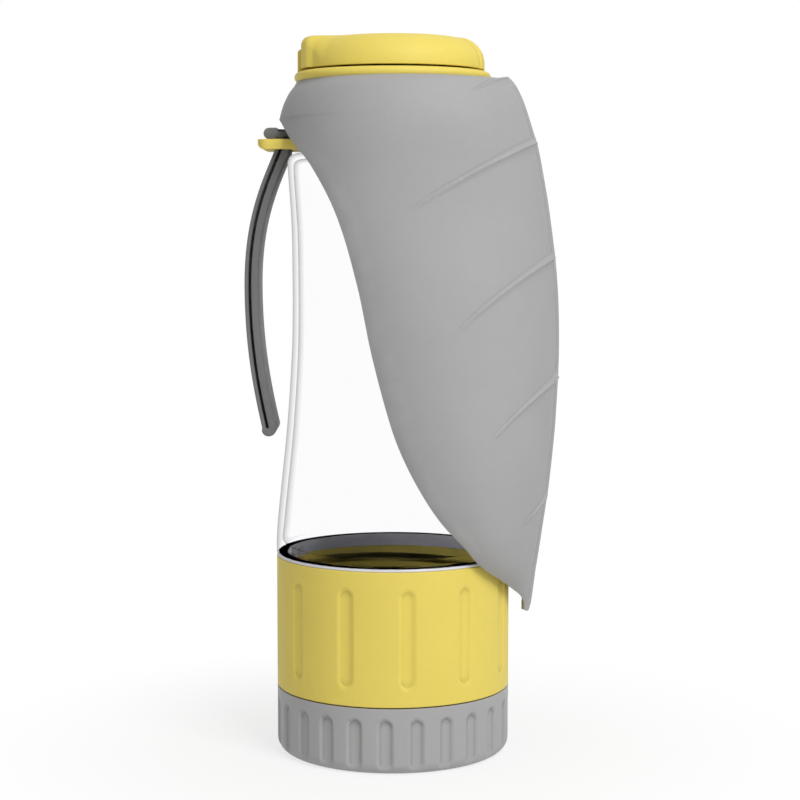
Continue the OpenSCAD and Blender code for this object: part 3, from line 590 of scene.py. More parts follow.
def make_bottle():
    wall = sizes().bottle_wall
    first, last = BOTTLE_SHARES[1][0], SHOULDER_SHARES[-1][0]
    stations = [blend_value(first, last, i / STATIONS) for i in range(STATIONS + 1)]
    outline = [(0, BOTTLE_FOOT), (BOSS_R - BOSS_WALL, BOTTLE_FOOT)]
    outline += arc(BOSS_R - BOSS_WALL / 2, BODY_LOW.z + BOSS_WALL / 2, BOSS_WALL / 2, 180, 360, 6)
    outline += [(BOSS_R, BOTTLE_FOOT)]
    outline += arc(BODY_HIGH.x - FOOT_EDGE, BOTTLE_FOOT + FOOT_EDGE, FOOT_EDGE, -90, 0, 4)
    outline += [(bottle_r(s), BOTTLE_FOOT + s * BOTTLE_H) for s in stations]
    outline += arc(SHOULDER_R - SHOULDER_ROUND, BOTTLE_TOP - SHOULDER_ROUND, SHOULDER_ROUND, 12, 90)
    outline += [(SEAT_R, BOTTLE_TOP), (SEAT_R, BOTTLE_TOP + SEAT_H), (NECK_R, BOTTLE_TOP + SEAT_H)]
    outline += arc(NECK_R - NECK_ROUND, BODY_HIGH.z - NECK_ROUND, NECK_ROUND, 0, 90, 3)
    outline += arc(NECK_R - NECK_WALL + NECK_ROUND, BODY_HIGH.z - NECK_ROUND, NECK_ROUND, 90, 180, 3)
    outline += [(NECK_R - NECK_WALL, BOTTLE_TOP - wall)]
    outline += arc(SHOULDER_R - wall - INNER_ROUND, BOTTLE_TOP - wall - INNER_ROUND, INNER_ROUND, 90, 12)
    outline += [(bottle_r(s) - wall, BOTTLE_FOOT + s * BOTTLE_H - wall) for s in reversed(stations[2:])]
    outline += arc(BODY_HIGH.x - wall - BOTTLE_FLOOR, BOTTLE_FOOT + 2 * BOTTLE_FLOOR, BOTTLE_FLOOR, 0, -90)
    outline += [(0, BOTTLE_FOOT + BOTTLE_FLOOR)]
    bottle = lathe("bottle_shell", outline, steps=256)
    add_thread(bottle, BOSS_R, BODY_LOW.z + 1 * MM, 1.5)
    finish(bottle, "clear plastic", "bottle", "clear_plastic", "bottle_body", smooth_angle=50)
    # The flat floor gets no painted edge shade, because it is always seen at a slant
    bottle.data.materials.append(material("clear floor"))
    floor_top = BOTTLE_FOOT + BOTTLE_FLOOR + 0.1 * MM
    for face in bottle.data.polygons:
        if face.center.z < floor_top and abs(face.normal.z) > 0.9:
            face.material_index = 1


# Strap ring with the ear that the strap hangs from
RING_BORE_R = 28.3 * MM
EAR_HALF_W = 14 * MM
EAR_ROUND = 4 * MM
EAR_UNDER_ROUND = 2.2 * MM
SLOT_X = 34.6 * MM
SLOT_LEN = 5 * MM
SLOT_W = 21.2 * MM
SLOT_ROUND = 0.8 * MM


def make_strap_ring():
    r, z0, z1 = RING_HIGH.x, RING_LOW.z, RING_HIGH.z
    root = math.degrees(math.asin(EAR_HALF_W / r))
    outline = arc(0, 0, r, -180 + root, 180 - root, 120)
    outline += arc(RING_LOW.x + EAR_ROUND, EAR_HALF_W - EAR_ROUND, EAR_ROUND, 90, 180)
    outline += arc(RING_LOW.x + EAR_ROUND, EAR_ROUND - EAR_HALF_W, EAR_ROUND, 180, 270)
    ring = slab("strap_ring_ear", outline, z0, z1)
    bore = cylinder(144, RING_BORE_R, 4 * (z1 - z0), (0, 0, z0))
    x, y = SLOT_LEN / 2 - SLOT_ROUND, SLOT_W / 2 - SLOT_ROUND
    hole = []
    for turn, side_x, side_y in ((0, 1, 1), (90, -1, 1), (180, -1, -1), (270, 1, -1)):
        hole += arc(side_x * x - SLOT_X, side_y * y, SLOT_ROUND, turn, turn + 90, 4)
    slot = slab("slot", hole, z0 - 1 * MM, z1 + 1 * MM)
    out, under = RING_LOW.x - 1 * MM, EAR_UNDER_ROUND
    nick = [(out, z0 - 1 * MM), (RING_LOW.x + under, z0 - 1 * MM)]
    nick += arc(RING_LOW.x + under, z0 + under, under, 270, 180) + [(out, z0 + under)]
    underside = prism("underside", nick, -2 * EAR_HALF_W, 2 * EAR_HALF_W)
    combine(ring, "DIFFERENCE", bore, slot, underside)
    round_edges(ring, 0.45 * MM)
    finish(ring, "smooth yellow plastic", "bottle", "yellow_plastic", "strap_ring")


# Strap: its middle line in shares of how far it bows out and hangs down
STRAP_UPPER_SHARES = [[0, 0], [0.36, 0.1], [1, 0.23], [1, 0.48]]
STRAP_LOWER_SHARES = [[1, 0.48], [1, 0.69], [0.76, 0.84], [0.47, 0.985]]
STRAP_BOW = 10 * MM
STRAP_DROP = 88.9 * MM
RUN_GAP = 0.9 * MM
STRAP_FOOT = 0.85 * MM
STRAP_STEPS = 18
FOOT_STEPS = 16
STRAP_HALF_W = 10 * MM
# The strap's head: a pad over the ear and a thinner flap that runs in under the leaf's hem
PAD_H = 3.6 * MM
FLAP_H = 2.4 * MM
PAD_OUT = 5.9 * MM
PAD_END = -36.1 * MM
FLAP_END = -30.5 * MM
HEAD_GAP = 0.1 * MM


def bezier(c, t):
    return [(1 - t) ** 3 * a + 3 * (1 - t) ** 2 * t * b + 3 * (1 - t) * t ** 2 * d + t ** 3 * e
            for a, b, d, e in zip(*c)]


def strap_line():
    """Middle line of the gap between the runs, and the way that it takes at each of its points."""
    shares = [bezier(STRAP_UPPER_SHARES, i / STRAP_STEPS) for i in range(STRAP_STEPS + 1)]
    shares += [bezier(STRAP_LOWER_SHARES, i / STRAP_STEPS) for i in range(1, STRAP_STEPS + 1)]
    x = -SLOT_X - (sizes().inner_run - sizes().outer_run) / 2
    line = [Vector((x - STRAP_BOW * a, RING_LOW.z - STRAP_DROP * b)) for a, b in shares]
    ways = [(line[min(i + 1, len(line) - 1)] - line[max(i - 1, 0)]).normalized() for i in range(len(line))]
    return line, ways


def strap_loop(inner, outer, foot, top):
    """Loop beside the middle line: down its inner side, round the foot and up its outer side."""
    line, ways = strap_line()
    sides = [Vector((-w.y, w.x)) for w in ways]
    turn = math.atan2(ways[-1].y, ways[-1].x)
    loop = [Vector((line[0].x + inner, top))] + [p + q * inner for p, q in zip(line, sides)]
    for i in range(1, FOOT_STEPS):
        t = i / FOOT_STEPS
        a = turn + math.pi / 2 - math.pi * t
        reach = blend_value(inner, outer, t) + foot * math.sin(math.pi * t)
        loop.append(line[-1] + reach * Vector((math.cos(a), math.sin(a))))
    loop += [p - q * outer for p, q in zip(line[::-1], sides[::-1])]
    return loop + [Vector((line[0].x - outer, top))]


def make_strap():
    s, slit = sizes(), RUN_GAP / 2
    top = RING_HIGH.z + 1.2 * MM
    path = strap_loop(s.inner_run + slit, s.outer_run + slit, STRAP_FOOT, top)
    path += strap_loop(slit, slit, 0, top)[::-1]
    band = prism("carry_strap_band", [tuple(q) for q in path], -STRAP_HALF_W, STRAP_HALF_W)
    low, x0, x1, x2 = RING_HIGH.z + HEAD_GAP, -SLOT_X - PAD_OUT, PAD_END, FLAP_END
    head_line = arc(x0 + PAD_H / 2, low + PAD_H / 2, PAD_H / 2, 270, 90, 14)
    head_line += [(x1 - 0.3 * MM, low + PAD_H), (x1, low + PAD_H - 0.3 * MM), (x1 + 0.2 * MM, low + FLAP_H)]
    head_line += arc(x2 - FLAP_H / 2, low + FLAP_H / 2, FLAP_H / 2, 90, -90, 8)
    head = prism("head", head_line, -STRAP_HALF_W, STRAP_HALF_W)
    # The pad's middle runs on inwards under the leaf's hem
    pad_line = [(x1 - 1 * MM, low), (x2, low), (x2, low + FLAP_H), (x2 - 2 * MM, low + 3.2 * MM),
                (x1 - 1 * MM, low + 3.4 * MM)]
    join(band, head, prism("pad", pad_line, -0.6 * STRAP_HALF_W, 0.6 * STRAP_HALF_W))
    round_edges(band, 0.35 * MM, angle=50)
    finish(band, "shaded strap silicone", None, "strap_silicone", "carry_strap", smooth_angle=50)
    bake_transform(band)


# Leaf: each row a place down the blade, then the midrib and the middle of the section as shares of
# the reach, the section's back and side radii as shares of its half width, and the edge's distance
# from the midrib as a share of the leaf's half width round its curve
LEAF_SHARES = [
    [0, 0.818, 0.06, 0.952, 0.952, 1.2],
    [0.044, 0.862, 0.038, 0.94, 0.945, 1.14],
    [0.087, 0.889, 0.038, 0.94, 0.933, 1.108],
    [0.18, 0.937, 0.057, 0.94, 0.925, 1.006],
    [0.32, 0.987, 0.163, 0.94, 0.952, 0.991],
    [0.461, 1, 0.268, 0.952, 0.981, 1],
    [0.604, 0.982, 0.345, 0.94, 1, 0.975],
    [0.675, 0.964, 0.393, 0.916, 0.988, 0.954],
    [0.747, 0.941, 0.431, 0.892, 0.947, 0.902],
    [0.795, 0.92, 0.46, 0.868, 0.899, 0.855],
    [0.835, 0.902, 0.489, 0.818, 0.836, 0.802],
    [0.887, 0.879, 0.54, 0.723, 0.694, 0.745],
    [0.919, 0.864, 0.607, 0.629, 0.525, 0.662],
    [0.945, 0.854, 0.663, 0.566, 0.359, 0.58],
    [0.968, 0.845, 0.734, 0.503, 0.21, 0.496],
    [0.987, 0.837, 0.779, 0.44, 0.094, 0.456],
    [1, 0.831, 0.793, 0.377, 0.039, 0.414]]
COLLAR_SHARES = [
    [0, 0, 0, 0, 0],
    [0.25, 0.28, 0.002, 0.34, 0.017],
    [0.42, 0.48, 0.005, 0.48, 0.16],
    [0.52, 0.59, 0.02, 0.595, 0.26],
    [0.6, 0.66, 0.085, 0.685, 0.355],
    [0.72, 0.745, 0.23, 0.81, 0.53],
    [0.86, 0.895, 0.58, 0.965, 0.755],
    [1, 1, 1, 1, 1]]
LEAF_REACH = 52.2 * MM
LEAF_SIDE = 41.5 * MM
LEAF_HALF_W = 87.5 * MM
ROOT_R = 26.6 * MM
COLLAR_H = 14 * MM
ROOT_Z = LEAF_HIGH.z
HEM_Z = ROOT_Z - COLLAR_H
LEAF_LEN = 155.6 * MM
ARCH_SHARE = 0.044
ARCH_ANGLE = 146.2
ARCH_START = 165
ARCH_POWER = 0.42
RIB_HALF_W = 1.5 * MM
RIB_START = -0.56
RIB_GROWTH = 11
# Veins: drop at the midrib, drop gained on the way out, angle reached, and strength
VEIN_SHARES = [[-0.47, 0.25, 54, 0.8], [0.041, 0.147, 90, 1], [0.272, 0.159, 84, 1], [0.515, 0.118, 72, 1],
               [0.76, 0.046, 49, 0.8]]
VEIN_STEP = 0.5 * MM
VEIN_STEP_SHARE = 0.45
VEIN_START = 3.5
VEIN_POINTS = 120
VEIN_TAPER = 0.55
VEIN_ROOT = 0.75
VEIN_GROWTH = 5
# How far from a vein the leaf's faces are cut finer, and into how many more
FINER = ((3.2 * MM, 1), (1.9 * MM, 2))
COLUMNS = 84
ROWS = 128
SIDE_THINNING = 0.35
TIP_THINNING = 0.6
# How far above and below the hem the collar bends into the blade
HEM_ABOVE = 0.3
HEM_BELOW = 0.025
PROBE = 0.01
# Parts of the grid's height that the collar takes, and the collar with the arch over the strap
COLLAR_PART = 0.24
ARCH_PART = 0.28
COLUMN_CROWDING = 0.4

edge_angles = [[0, ARCH_START], [ARCH_SHARE, ARCH_ANGLE]] + [
    [row[0], math.degrees(row[5] * LEAF_HALF_W / LEAF_SIDE)] for row in LEAF_SHARES[2:]]


def edge_angle(u):
    """Angle in degrees from the midrib to the leaf's edge at row u, which is below 0 on the collar."""
    if u <= 0:
        return 180
    if u < ARCH_SHARE:
        return blend_value(180, ARCH_ANGLE, (u / ARCH_SHARE) ** ARCH_POWER)
    return smooth(edge_angles, 1, u)


def collar_point(v, a):
    """Point on the collar, v from 0 at the neck to 1 at the hem, at the angle a from the midrib."""
    front = blend_value(ROOT_R, LEAF_REACH * LEAF_SHARES[0][1], smooth(COLLAR_SHARES, 1, v))
    back_end = LEAF_SIDE * LEAF_SHARES[0][3] - LEAF_REACH * LEAF_SHARES[0][2]
    back = blend_value(ROOT_R, back_end, smooth(COLLAR_SHARES, 3, v))
    down = blend_value(smooth(COLLAR_SHARES, 4, v), smooth(COLLAR_SHARES, 2, v), (1 + math.cos(a)) / 2)
    r = (front + back) / 2
    return Vector(((front - back) / 2 + r * math.cos(a), r * math.sin(a), ROOT_Z - COLLAR_H * down))


def blade_point(s, a):
    """Point on the blade, s from 0 at the hem to 1 at the tip, at the angle a from the midrib."""
    middle, front = LEAF_REACH * smooth(LEAF_SHARES, 2, s), LEAF_REACH * smooth(LEAF_SHARES, 1, s)
    back, side = LEAF_SIDE * smooth(LEAF_SHARES, 3, s), LEAF_SIDE * smooth(LEAF_SHARES, 4, s)
    reach = front - middle if abs(a) < math.pi / 2 else back
    return Vector((middle + reach * math.cos(a), side * math.sin(a), HEM_Z - LEAF_LEN * s))


def leaf_place(x, y):
    """Row and angle on the leaf of a point of the flat grid, whose sides run from -1 to 1."""
    v = (y + 1) / 2
    if v < COLLAR_PART:
        u = v / COLLAR_PART - 1
    elif v < ARCH_PART:
        u = ARCH_SHARE * ((v - COLLAR_PART) / (ARCH_PART - COLLAR_PART)) ** 2
    else:
        u = blend_value(ARCH_SHARE, 1, (v - ARCH_PART) / (1 - ARCH_PART))
    share = blend_value(1, COLUMN_CROWDING, min(1, max(0, u + 1)))
    return u, math.radians(edge_angle(u)) * x * (share + (1 - share) * x * x)


def leaf_point(u, a):
    """Point on the leaf's skin, which bends smoothly from the collar into the blade."""
    if u <= -HEM_ABOVE:
        return collar_point(1 + u, a)
    if u >= HEM_BELOW:
        return blade_point(min(1, u), a)
    start, end = collar_point(1 - HEM_ABOVE, a), blade_point(HEM_BELOW, a)
    reach = (end - start).length
    leave = (start - collar_point(1 - HEM_ABOVE - PROBE, a)).normalized() * reach
    meet = (blade_point(HEM_BELOW + PROBE, a) - end).normalized() * reach
    above, below = HEM_ABOVE * COLLAR_H, HEM_BELOW * LEAF_LEN
    t = ((u + HEM_ABOVE) * COLLAR_H if u < 0 else above + u * LEAF_LEN) / (above + below)
    return curve(start, leave, end, meet, t)


def vein_lines():
    """Points along each vein, with how far along they lie and the vein's strength."""
    found = []
    for drop, gain, reach, strength in VEIN_SHARES:
        for side in (-1, 1):
            for i in range(VEIN_POINTS + 1):
                t = i / VEIN_POINTS
                a = math.radians(blend_value(VEIN_START, reach, t))
                found.append((leaf_point(drop + gain * t ** 2, side * a), t, strength))
    return found


def vein_rise(above, away, s):
    """Height of a vein's upper face, or of the step and the hollow slope under it, beside its crest."""
    if above:
        return s.vein_height * max(0, 1 - away / s.vein_band) ** 1.3
    if away < VEIN_STEP:
        return s.vein_height * (1 - VEIN_STEP_SHARE * away / VEIN_STEP)
    slope = max(0, 1 - (away - VEIN_STEP) / (s.vein_skirt - VEIN_STEP))
    return s.vein_height * (1 - VEIN_STEP_SHARE) * slope ** 2


def leaf_grid(tree):
    """Flat grid of the leaf, with finer faces along the veins."""
    deselect_all()
    bpy.ops.mesh.primitive_grid_add(x_subdivisions=COLUMNS, y_subdivisions=ROWS, size=2, location=(0, 0, 0))
    leaf = bpy.context.object
    leaf.name = "leaf_blade"
    for reach, cuts in FINER:
        for face in leaf.data.polygons:
            near = tree.find(leaf_point(*leaf_place(face.center.x, face.center.y)))[2]
            face.select = near < reach
        pick_faces(leaf)
        bpy.ops.mesh.subdivide(number_cuts=cuts)
        bpy.ops.object.mode_set(mode="OBJECT")
    return leaf


def make_leaf():
    s = sizes()
    lines = vein_lines()
    tree = kdtree.KDTree(len(lines))
    for i, (point, along, strength) in enumerate(lines):
        tree.insert(point, i)
    tree.balance()
    leaf = leaf_grid(tree)
    ridges = leaf.vertex_groups.new(name="ridges")
    thick = leaf.vertex_groups.new(name="thickness")
    highest = max(s.rib_height, s.vein_height)
    for v in leaf.data.vertices:
        x = v.co.x
        u, a = leaf_place(v.co.x, v.co.y)
        v.co = leaf_point(u, a)
        rise = 0
        if v.co.x > 0:
            start = min(1, max(0, (u - RIB_START) * RIB_GROWTH))
            rise = s.rib_height * start * math.exp(-(v.co.y / RIB_HALF_W) ** 4)
        point, i, away = tree.find(v.co)
        along, strength = lines[i][1:]
        taper = strength * (1 - along) ** VEIN_TAPER
        if taper > 0:
            root = min(1, VEIN_ROOT + VEIN_GROWTH * along)
            rise = max(rise, vein_rise(v.co.z > point.z, away / taper, s) * taper * root)
        ridges.add([v.index], rise / highest, "REPLACE")
        thin = 1 - (SIDE_THINNING * x ** 4 if u > 0 else 0)
        thick.add([v.index], thin * (1 - TIP_THINNING * max(0, u) ** 8), "REPLACE")
    edit(leaf, bpy.ops.mesh.remove_doubles, threshold=MERGE)
    middle = HEM_Z - 0.5 * LEAF_LEN
    face = min(leaf.data.polygons, key=lambda f: abs(f.center.z - middle) + abs(f.center.y))
    if face.normal.x < 0:
        edit(leaf, bpy.ops.mesh.flip_normals)
    lining = leaf.vertex_groups.new(name="lining")
    apply(leaf, "SOLIDIFY", thickness=s.leaf_thickness, offset=-1, vertex_group="thickness",
          shell_vertex_group="lining", use_even_offset=False)
    for v in leaf.data.vertices:
        if any(g.group == lining.index and g.weight > 0.5 for g in v.groups):
            ridges.remove([v.index])
    apply(leaf, "DISPLACE", vertex_group="ridges", strength=highest, mid_level=0, direction="NORMAL")
    round_edges(leaf, 0.4 * MM, angle=72, segments=2)
    finish(leaf, "leaf silicone", None, "leaf_silicone", "leaf_bowl", smooth_angle=60)
    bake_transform(leaf)


def pick_faces(piece):
    """Goes to edit mode with the piece's selected faces, and nothing else, selected."""
    chosen = [f.index for f in piece.data.polygons if f.select]
    pick(piece)
    bpy.ops.object.mode_set(mode="EDIT")
    bpy.ops.mesh.select_mode(type="FACE")
    bpy.ops.mesh.select_all(action="DESELECT")
    bpy.ops.object.mode_set(mode="OBJECT")
    for i in chosen:
        piece.data.polygons[i].select = True
    bpy.ops.object.mode_set(mode="EDIT")


# Cap with its bead flange, threaded plug, spout and hinge lug
FLANGE_T = 3.3 * MM
PLUG_R = 23.7 * MM
PLUG_WALL = 2 * MM
SPOUT_X = 5 * MM
SPOUT_BORE_R = 7 * MM
SPOUT_WALL = 2.2 * MM
SPOUT_H = 4.4 * MM
LUG_HALF_W = 6 * MM
BARREL_R = 3.1 * MM
LUG_ROUND = 1.2 * MM
SPOUT_ROUND = 0.5 * MM
OVERLAP = 1 * MM
FLANGE_LOW = CAP_LOW.z + 11 * MM
FLANGE_HIGH = FLANGE_LOW + FLANGE_T
HINGE_X = -(PIN_LOW.x + PIN_HIGH.x) / 2
HINGE_Z = (PIN_LOW.z + PIN_HIGH.z) / 2


def make_cap():
    bead = FLANGE_T / 2
    outline = [(0, FLANGE_LOW), (PLUG_R - PLUG_WALL, FLANGE_LOW)]
    outline += arc(PLUG_R - PLUG_WALL / 2, CAP_LOW.z + PLUG_WALL / 2, PLUG_WALL / 2, 180, 360, 6)
    outline += [(PLUG_R, FLANGE_LOW)]
    outline += arc(CAP_HIGH.x - bead, FLANGE_LOW + bead, bead, -90, 90, 16)
    outline += [(0, FLANGE_HIGH)]
    cap = lathe("cap_flange", outline, steps=240)
    buried, spout_r, spout_top = FLANGE_HIGH - OVERLAP, SPOUT_BORE_R + SPOUT_WALL, FLANGE_HIGH + SPOUT_H
    spout_line = [(0, buried), (spout_r, buried)]
    spout_line += arc(spout_r - SPOUT_ROUND, spout_top - SPOUT_ROUND, SPOUT_ROUND, 0, 90, 4)
    spout = lathe("spout", spout_line + [(0, spout_top)], steps=96)
    edit(spout, bpy.ops.transform.translate, value=(SPOUT_X, 0, 0))
    corner = BARREL_R - LUG_ROUND
    lug_line = [(BARREL_R - HINGE_X, buried)] + arc(-HINGE_X, HINGE_Z, BARREL_R, 0, 90, 12)
    lug_line += arc(-HINGE_X - corner, HINGE_Z + corner, LUG_ROUND, 90, 180, 8)
    lug_line += [(-BARREL_R - HINGE_X, buried)]
    lug = prism("lug", lug_line, -LUG_HALF_W, LUG_HALF_W)
    round_edges(lug, 0.3 * MM, angle=60)
    combine(cap, "UNION", spout, lug)
    combine(cap, "DIFFERENCE", cylinder(96, SPOUT_BORE_R, 30 * MM, (SPOUT_X, 0, FLANGE_HIGH)))
    add_thread(cap, PLUG_R, CAP_LOW.z + 1 * MM, 1.25)
    finish(cap, "smooth yellow plastic", "cap", "yellow_plastic", "cap_base")


# Flip lid, whose shell takes in the hinge block at its back and the thumb tab at its front
LID_R = 28.9 * MM
LID_ROUND = 9.2 * MM
LID_WALL = 1.7 * MM
BLOCK_HALF_W = 14.5 * MM
BLOCK_LEN = 13 * MM
BLOCK_BACK = 28.6 * MM
BLOCK_ROUND = 3 * MM
BLOCK_TRIM_R = 30.4 * MM
# Degrees from the back over which the block's side and its rounding run out
BLOCK_SIDE = (26, 33)
BLOCK_BLEND = (24, 44)
TAB_HALF_ANGLE = 16.5
TAB_SOFT = 0.7
GROOVE_HALF = 1.8
TAB_TIGHTER = 1.4 * MM
TAB_RIM = 0.2 * MM
TAB_GROOVE = 0.7 * MM
LID_RIM_ROUND = 0.15 * MM
SEAL_BOSS_R = 7 * MM
HINGE_PLAY = 0.3 * MM
PIN_SUNK = 0.9 * MM
LID_STEPS = 288
LID_ROWS = 20


def ease(low, high, x):
    """Smooth step from 0 at low to 1 at high."""
    t = min(1, max(0, (x - low) / (high - low)))
    return t * t * (3 - 2 * t)


def lid_plan(turn):
    """Radius of the lid and of its rounded edge at a turn in degrees, where 0 is the thumb tab's middle."""
    turn = abs((turn + 180) % 360 - 180)
    back = math.radians(180 - turn)
    block = min(BLOCK_TRIM_R, BLOCK_BACK / max(0.1, math.cos(back)))
    side = 1 - ease(*BLOCK_SIDE, 180 - turn)
    tab = 1 - ease(TAB_HALF_ANGLE - TAB_SOFT, TAB_HALF_ANGLE + TAB_SOFT, turn)
    groove = max(0, 1 - abs(turn - TAB_HALF_ANGLE - GROOVE_HALF) / GROOVE_HALF)
    radius = LID_R + (block - LID_R) * side + TAB_RIM * tab - TAB_GROOVE * groove
    rounding = blend_value(BLOCK_ROUND, LID_ROUND, ease(*BLOCK_BLEND, 180 - turn)) - TAB_TIGHTER * tab
    return radius, rounding


def shape_lid(lid, high):
    """Gives a turned lid its block and tab: each point goes out to the plan's radius and rounding."""
    for v in lid.data.vertices:
        r = math.hypot(v.co.x, v.co.y)
        if r < 1 * MM:
            continue
        radius, rounding = lid_plan(math.degrees(math.atan2(v.co.y, v.co.x)))
        fall = max(0, v.co.z - (high - LID_ROUND)) / LID_ROUND
        if fall > 0:
            lift = min(1, fall)
            new_r = radius - rounding * (1 - math.sqrt(max(0, 1 - lift * lift)))
            v.co.z = high - rounding * (1 - lift)
        else:
            new_r = r + radius - LID_R
        v.co.x *= new_r / r
        v.co.y *= new_r / r


def make_lid():
    low, high, edge = LID_LOW.z, LID_HIGH.z, LID_RIM_ROUND
    outline = [(0, low), (LID_R - edge, low)] + arc(LID_R - edge, low + edge, edge, -90, 0, 3)
    outline += [(LID_R, high - LID_ROUND - 0.05 * MM)]
    outline += arc(LID_R - LID_ROUND, high - LID_ROUND, LID_ROUND, 0, 90, LID_ROWS)
    lid = lathe("flip_lid_shell", outline + [(0, high)], steps=LID_STEPS)
    shape_lid(lid, high)
    room_line = [(0, low - 1 * MM), (LID_R - LID_WALL, low - 1 * MM)]
    room_line += arc(LID_R - LID_ROUND, high - LID_ROUND, LID_ROUND - LID_WALL, 0, 90, 12)
    room = lathe("room", room_line + [(0, high - LID_WALL)], steps=192)
    # The room leaves the hinge block solid, apart from the slot for the cap's lug
    far, wall = -2 * BLOCK_BACK, BLOCK_LEN - BLOCK_BACK
    back_wall = [(far, low - 3 * MM), (wall, low - 3 * MM), (wall, high + 3 * MM), (far, high + 3 * MM)]
    combine(room, "DIFFERENCE", prism("back", back_wall, -BLOCK_HALF_W, BLOCK_HALF_W))
    gap_r = (BARREL_R - LUG_ROUND) * math.sqrt(2) + LUG_ROUND + HINGE_PLAY
    slot_line = [(-2 * LID_R, HINGE_Z - gap_r), (gap_r - HINGE_X, HINGE_Z - gap_r)]
    slot_line += arc(-HINGE_X, HINGE_Z, gap_r, 0, 90, 12) + [(-2 * LID_R, HINGE_Z + gap_r)]
    slot_half_w = LUG_HALF_W + HINGE_PLAY
    combine(lid, "DIFFERENCE", room, prism("slot", slot_line, -slot_half_w, slot_half_w))
    join(lid, cylinder(64, SEAL_BOSS_R, LID_WALL + 1 * MM, (SPOUT_X, 0, high - LID_WALL - 0.2 * MM)))
    finish(lid, "yellow plastic", "lid", "yellow_plastic", "flip_lid", smooth_angle=35)


def make_pin():
    pin = cylinder(48, (PIN_HIGH.x - PIN_LOW.x) / 2, 2 * (PIN_HIGH.y - PIN_SUNK), (-HINGE_X, 0, HINGE_Z),
                   rotation=(math.pi / 2, 0, 0))
    pin.name = "hinge_pin_rod"
    round_edges(pin, 0.3 * MM)
    finish(pin, "pin steel", "lid", "pin_steel", "hinge_pin")


def dress_hidden_pieces():
    """Gives the hidden gaskets and the lid's seal their finish."""
    for node in ("base_gasket", "cap_gasket", "lid_seal"):
        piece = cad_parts[node]
        piece.data.materials.clear()
        piece.data.materials.append(material("seal silicone"))


# Studio
CAMERA_PLACE = (2.3 * MM, -636 * MM, 169.6 * MM)
CAMERA_PITCH = 5.065
CAMERA_LENS = 89.19
STUDIO_REACH = 6.0
LAMP_AIM = Vector((0, 0, 0.12))
LAMPS = (("key", (0.75, -1.15, 1.25), 0.8, 22.5), ("fill", (-1.5, -0.9, 0.6), 1.4, 1.5),
         ("top", (0.1, 0.1, 1.6), 1.0, 3))
# Distances from the bottle at which the floor starts to fade to white, and is white
FADE_START = 0.03
FADE_END = 0.16


def make_stage():
    scene = bpy.context.scene
    scene.view_settings.view_transform = "Standard"
    deselect_all()
    bpy.ops.object.camera_add(location=CAMERA_PLACE, rotation=(math.radians(90 - CAMERA_PITCH), 0, 0))
    camera = bpy.context.object
    camera.data.lens = CAMERA_LENS
    camera.data.clip_start = 0.05
    camera.data.clip_end = 50
    scene.camera = camera
    for values in LAMPS:
        lamp(*values)
    bpy.ops.mesh.primitive_circle_add(vertices=128, radius=STUDIO_REACH, fill_type="NGON", location=(0, 0, 0))
    floor = bpy.context.object
    floor.name = "studio_floor"
    floor.data.materials.append(floor_finish())
    scene.world = studio_world()


def lamp(name, place, side, power):
    """Square soft lamp aimed at the middle of the bottle."""
    aim = LAMP_AIM - Vector(place)
    bpy.ops.object.light_add(type="AREA", location=place, rotation=aim.to_track_quat("-Z", "Y").to_euler())
    light = bpy.context.object
    light.name = name + "_lamp"
    light.data.size = side
    light.data.energy = power


def seen_directly(tree):
    """1 for camera, mirror and glass rays, and 0 for the light that falls on the object."""
    path = add_node(tree, "LightPath")
    seen = path["Is Camera Ray"]
    for ray in ("Is Glossy Ray", "Is Transmission Ray"):
        seen = add_node(tree, "Math", {0: seen, 1: path[ray]}, operation="MAXIMUM")[0]
    return seen


def floor_finish():
    """Pale floor that takes the object's shadow and fades to white around it."""
    made, tree, shader = new_material("studio floor")
    feed(tree, shader, {"Base Color": (*colours().floor, 1), "Roughness": 0.9, "Specular IOR Level": 0.1})
    white = add_node(tree, "Emission", {"Color": (1, 1, 1, 1)})["Emission"]
    place = add_node(tree, "TexCoord")["Object"]
    away = add_node(tree, "VectorMath", {0: place}, operation="LENGTH")["Value"]
    fade = add_node(tree, "MapRange", {"Value": away, "From Min": FADE_START, "From Max": FADE_END,
                                       "To Min": 0.75}, interpolation_type="SMOOTHSTEP")["Result"]
    seen = add_node(tree, "Math", {0: seen_directly(tree), 1: fade}, operation="MULTIPLY")[0]
    mix = add_node(tree, "MixShader", {"Fac": seen, 1: shader.outputs["BSDF"], 2: white})["Shader"]
    feed(tree, tree.nodes["Material Output"], {"Surface": mix})
    return made


def studio_world():
    """White all round for the eye, and a soft even light for the object."""
    world = bpy.data.worlds.new("studio")
    world.use_nodes = True
    tree = world.node_tree
    light = add_node(tree, "MapRange", {"Value": seen_directly(tree), "To Min": 0.3, "To Max": 1.0})
    feed(tree, tree.nodes["Background"], {"Color": (1, 1, 1, 1), "Strength": light["Result"]})
    return world


# One operator for each group of pieces

class BOTTLE_OT_base_lid(bpy.types.Operator):
    """Add the fluted base lid"""
    bl_idname = "bottle.base_lid"
    bl_label = "Base Lid"

    def execute(self, context):
        make_base_lid()
        return {"FINISHED"}


class BOTTLE_OT_food_cup(bpy.types.Operator):
    """Add the food cup and the gasket on it"""
    bl_idname = "bottle.food_cup"
    bl_label = "Food Cup"

    def execute(self, context):
        make_food_cup()
        make_cup_gasket()
        return {"FINISHED"}


class BOTTLE_OT_bottle(bpy.types.Operator):
    """Add the clear bottle"""
    bl_idname = "bottle.bottle"
    bl_label = "Clear Bottle"

    def execute(self, context):
        make_bottle()
        return {"FINISHED"}


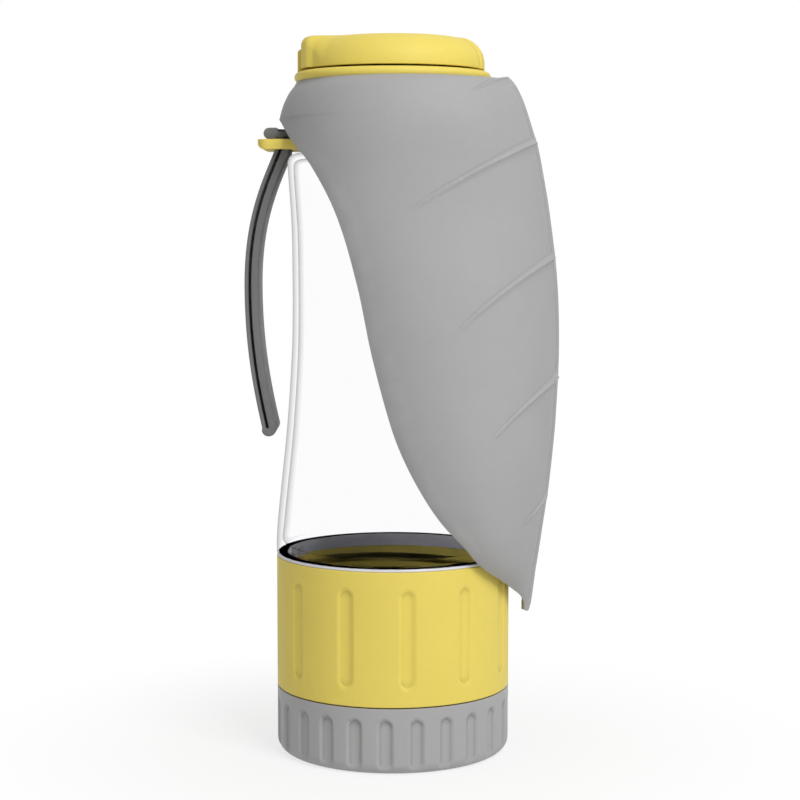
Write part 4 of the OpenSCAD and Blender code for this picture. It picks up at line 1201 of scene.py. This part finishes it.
class BOTTLE_OT_strap(bpy.types.Operator):
    """Add the strap ring and the carry strap"""
    bl_idname = "bottle.strap"
    bl_label = "Carry Strap"

    def execute(self, context):
        make_strap_ring()
        make_strap()
        return {"FINISHED"}


class BOTTLE_OT_leaf(bpy.types.Operator):
    """Add the folding silicone leaf"""
    bl_idname = "bottle.leaf"
    bl_label = "Leaf Bowl"

    def execute(self, context):
        make_leaf()
        return {"FINISHED"}


class BOTTLE_OT_cap(bpy.types.Operator):
    """Add the cap and its flip lid"""
    bl_idname = "bottle.cap"
    bl_label = "Cap and Flip Lid"

    def execute(self, context):
        make_cap()
        make_lid()
        return {"FINISHED"}


class BOTTLE_OT_hidden(bpy.types.Operator):
    """Add the hinge pin and finish the gaskets and the seal"""
    bl_idname = "bottle.hidden"
    bl_label = "Seals and Pin"

    def execute(self, context):
        make_pin()
        dress_hidden_pieces()
        return {"FINISHED"}


class BOTTLE_OT_stage(bpy.types.Operator):
    """Add the camera, the lamps and the floor"""
    bl_idname = "bottle.stage"
    bl_label = "Studio"

    def execute(self, context):
        make_stage()
        return {"FINISHED"}


STEPS = (BOTTLE_OT_base_lid, BOTTLE_OT_food_cup, BOTTLE_OT_bottle, BOTTLE_OT_strap, BOTTLE_OT_leaf,
         BOTTLE_OT_cap, BOTTLE_OT_hidden, BOTTLE_OT_stage)


class BOTTLE_PT_panel(bpy.types.Panel):
    """Sizes, colours and pieces of the bottle"""
    bl_idname = "BOTTLE_PT_panel"
    bl_label = "Travel Water Bottle"
    bl_space_type = "VIEW_3D"
    bl_region_type = "UI"
    bl_category = "Bottle"

    def draw(self, context):
        for group in (context.scene.bottle_sizes, context.scene.bottle_colours):
            column = self.layout.column(align=True)
            for name in group.__annotations__:
                column.prop(group, name)
        column = self.layout.column()
        for step in STEPS:
            column.operator(step.bl_idname)


CLASSES = (BottleSizes, BottleColours, *STEPS, BOTTLE_PT_panel)


def register():
    for cls in CLASSES:
        bpy.utils.register_class(cls)
    bpy.types.Scene.bottle_sizes = bpy.props.PointerProperty(type=BottleSizes)
    bpy.types.Scene.bottle_colours = bpy.props.PointerProperty(type=BottleColours)


def unregister():
    del bpy.types.Scene.bottle_colours
    del bpy.types.Scene.bottle_sizes
    for cls in reversed(CLASSES):
        bpy.utils.unregister_class(cls)


def main():
    register()
    for step in STEPS:
        group, name = step.bl_idname.split(".")
        getattr(getattr(bpy.ops, group), name)()


if __name__ == "__main__":
    main()
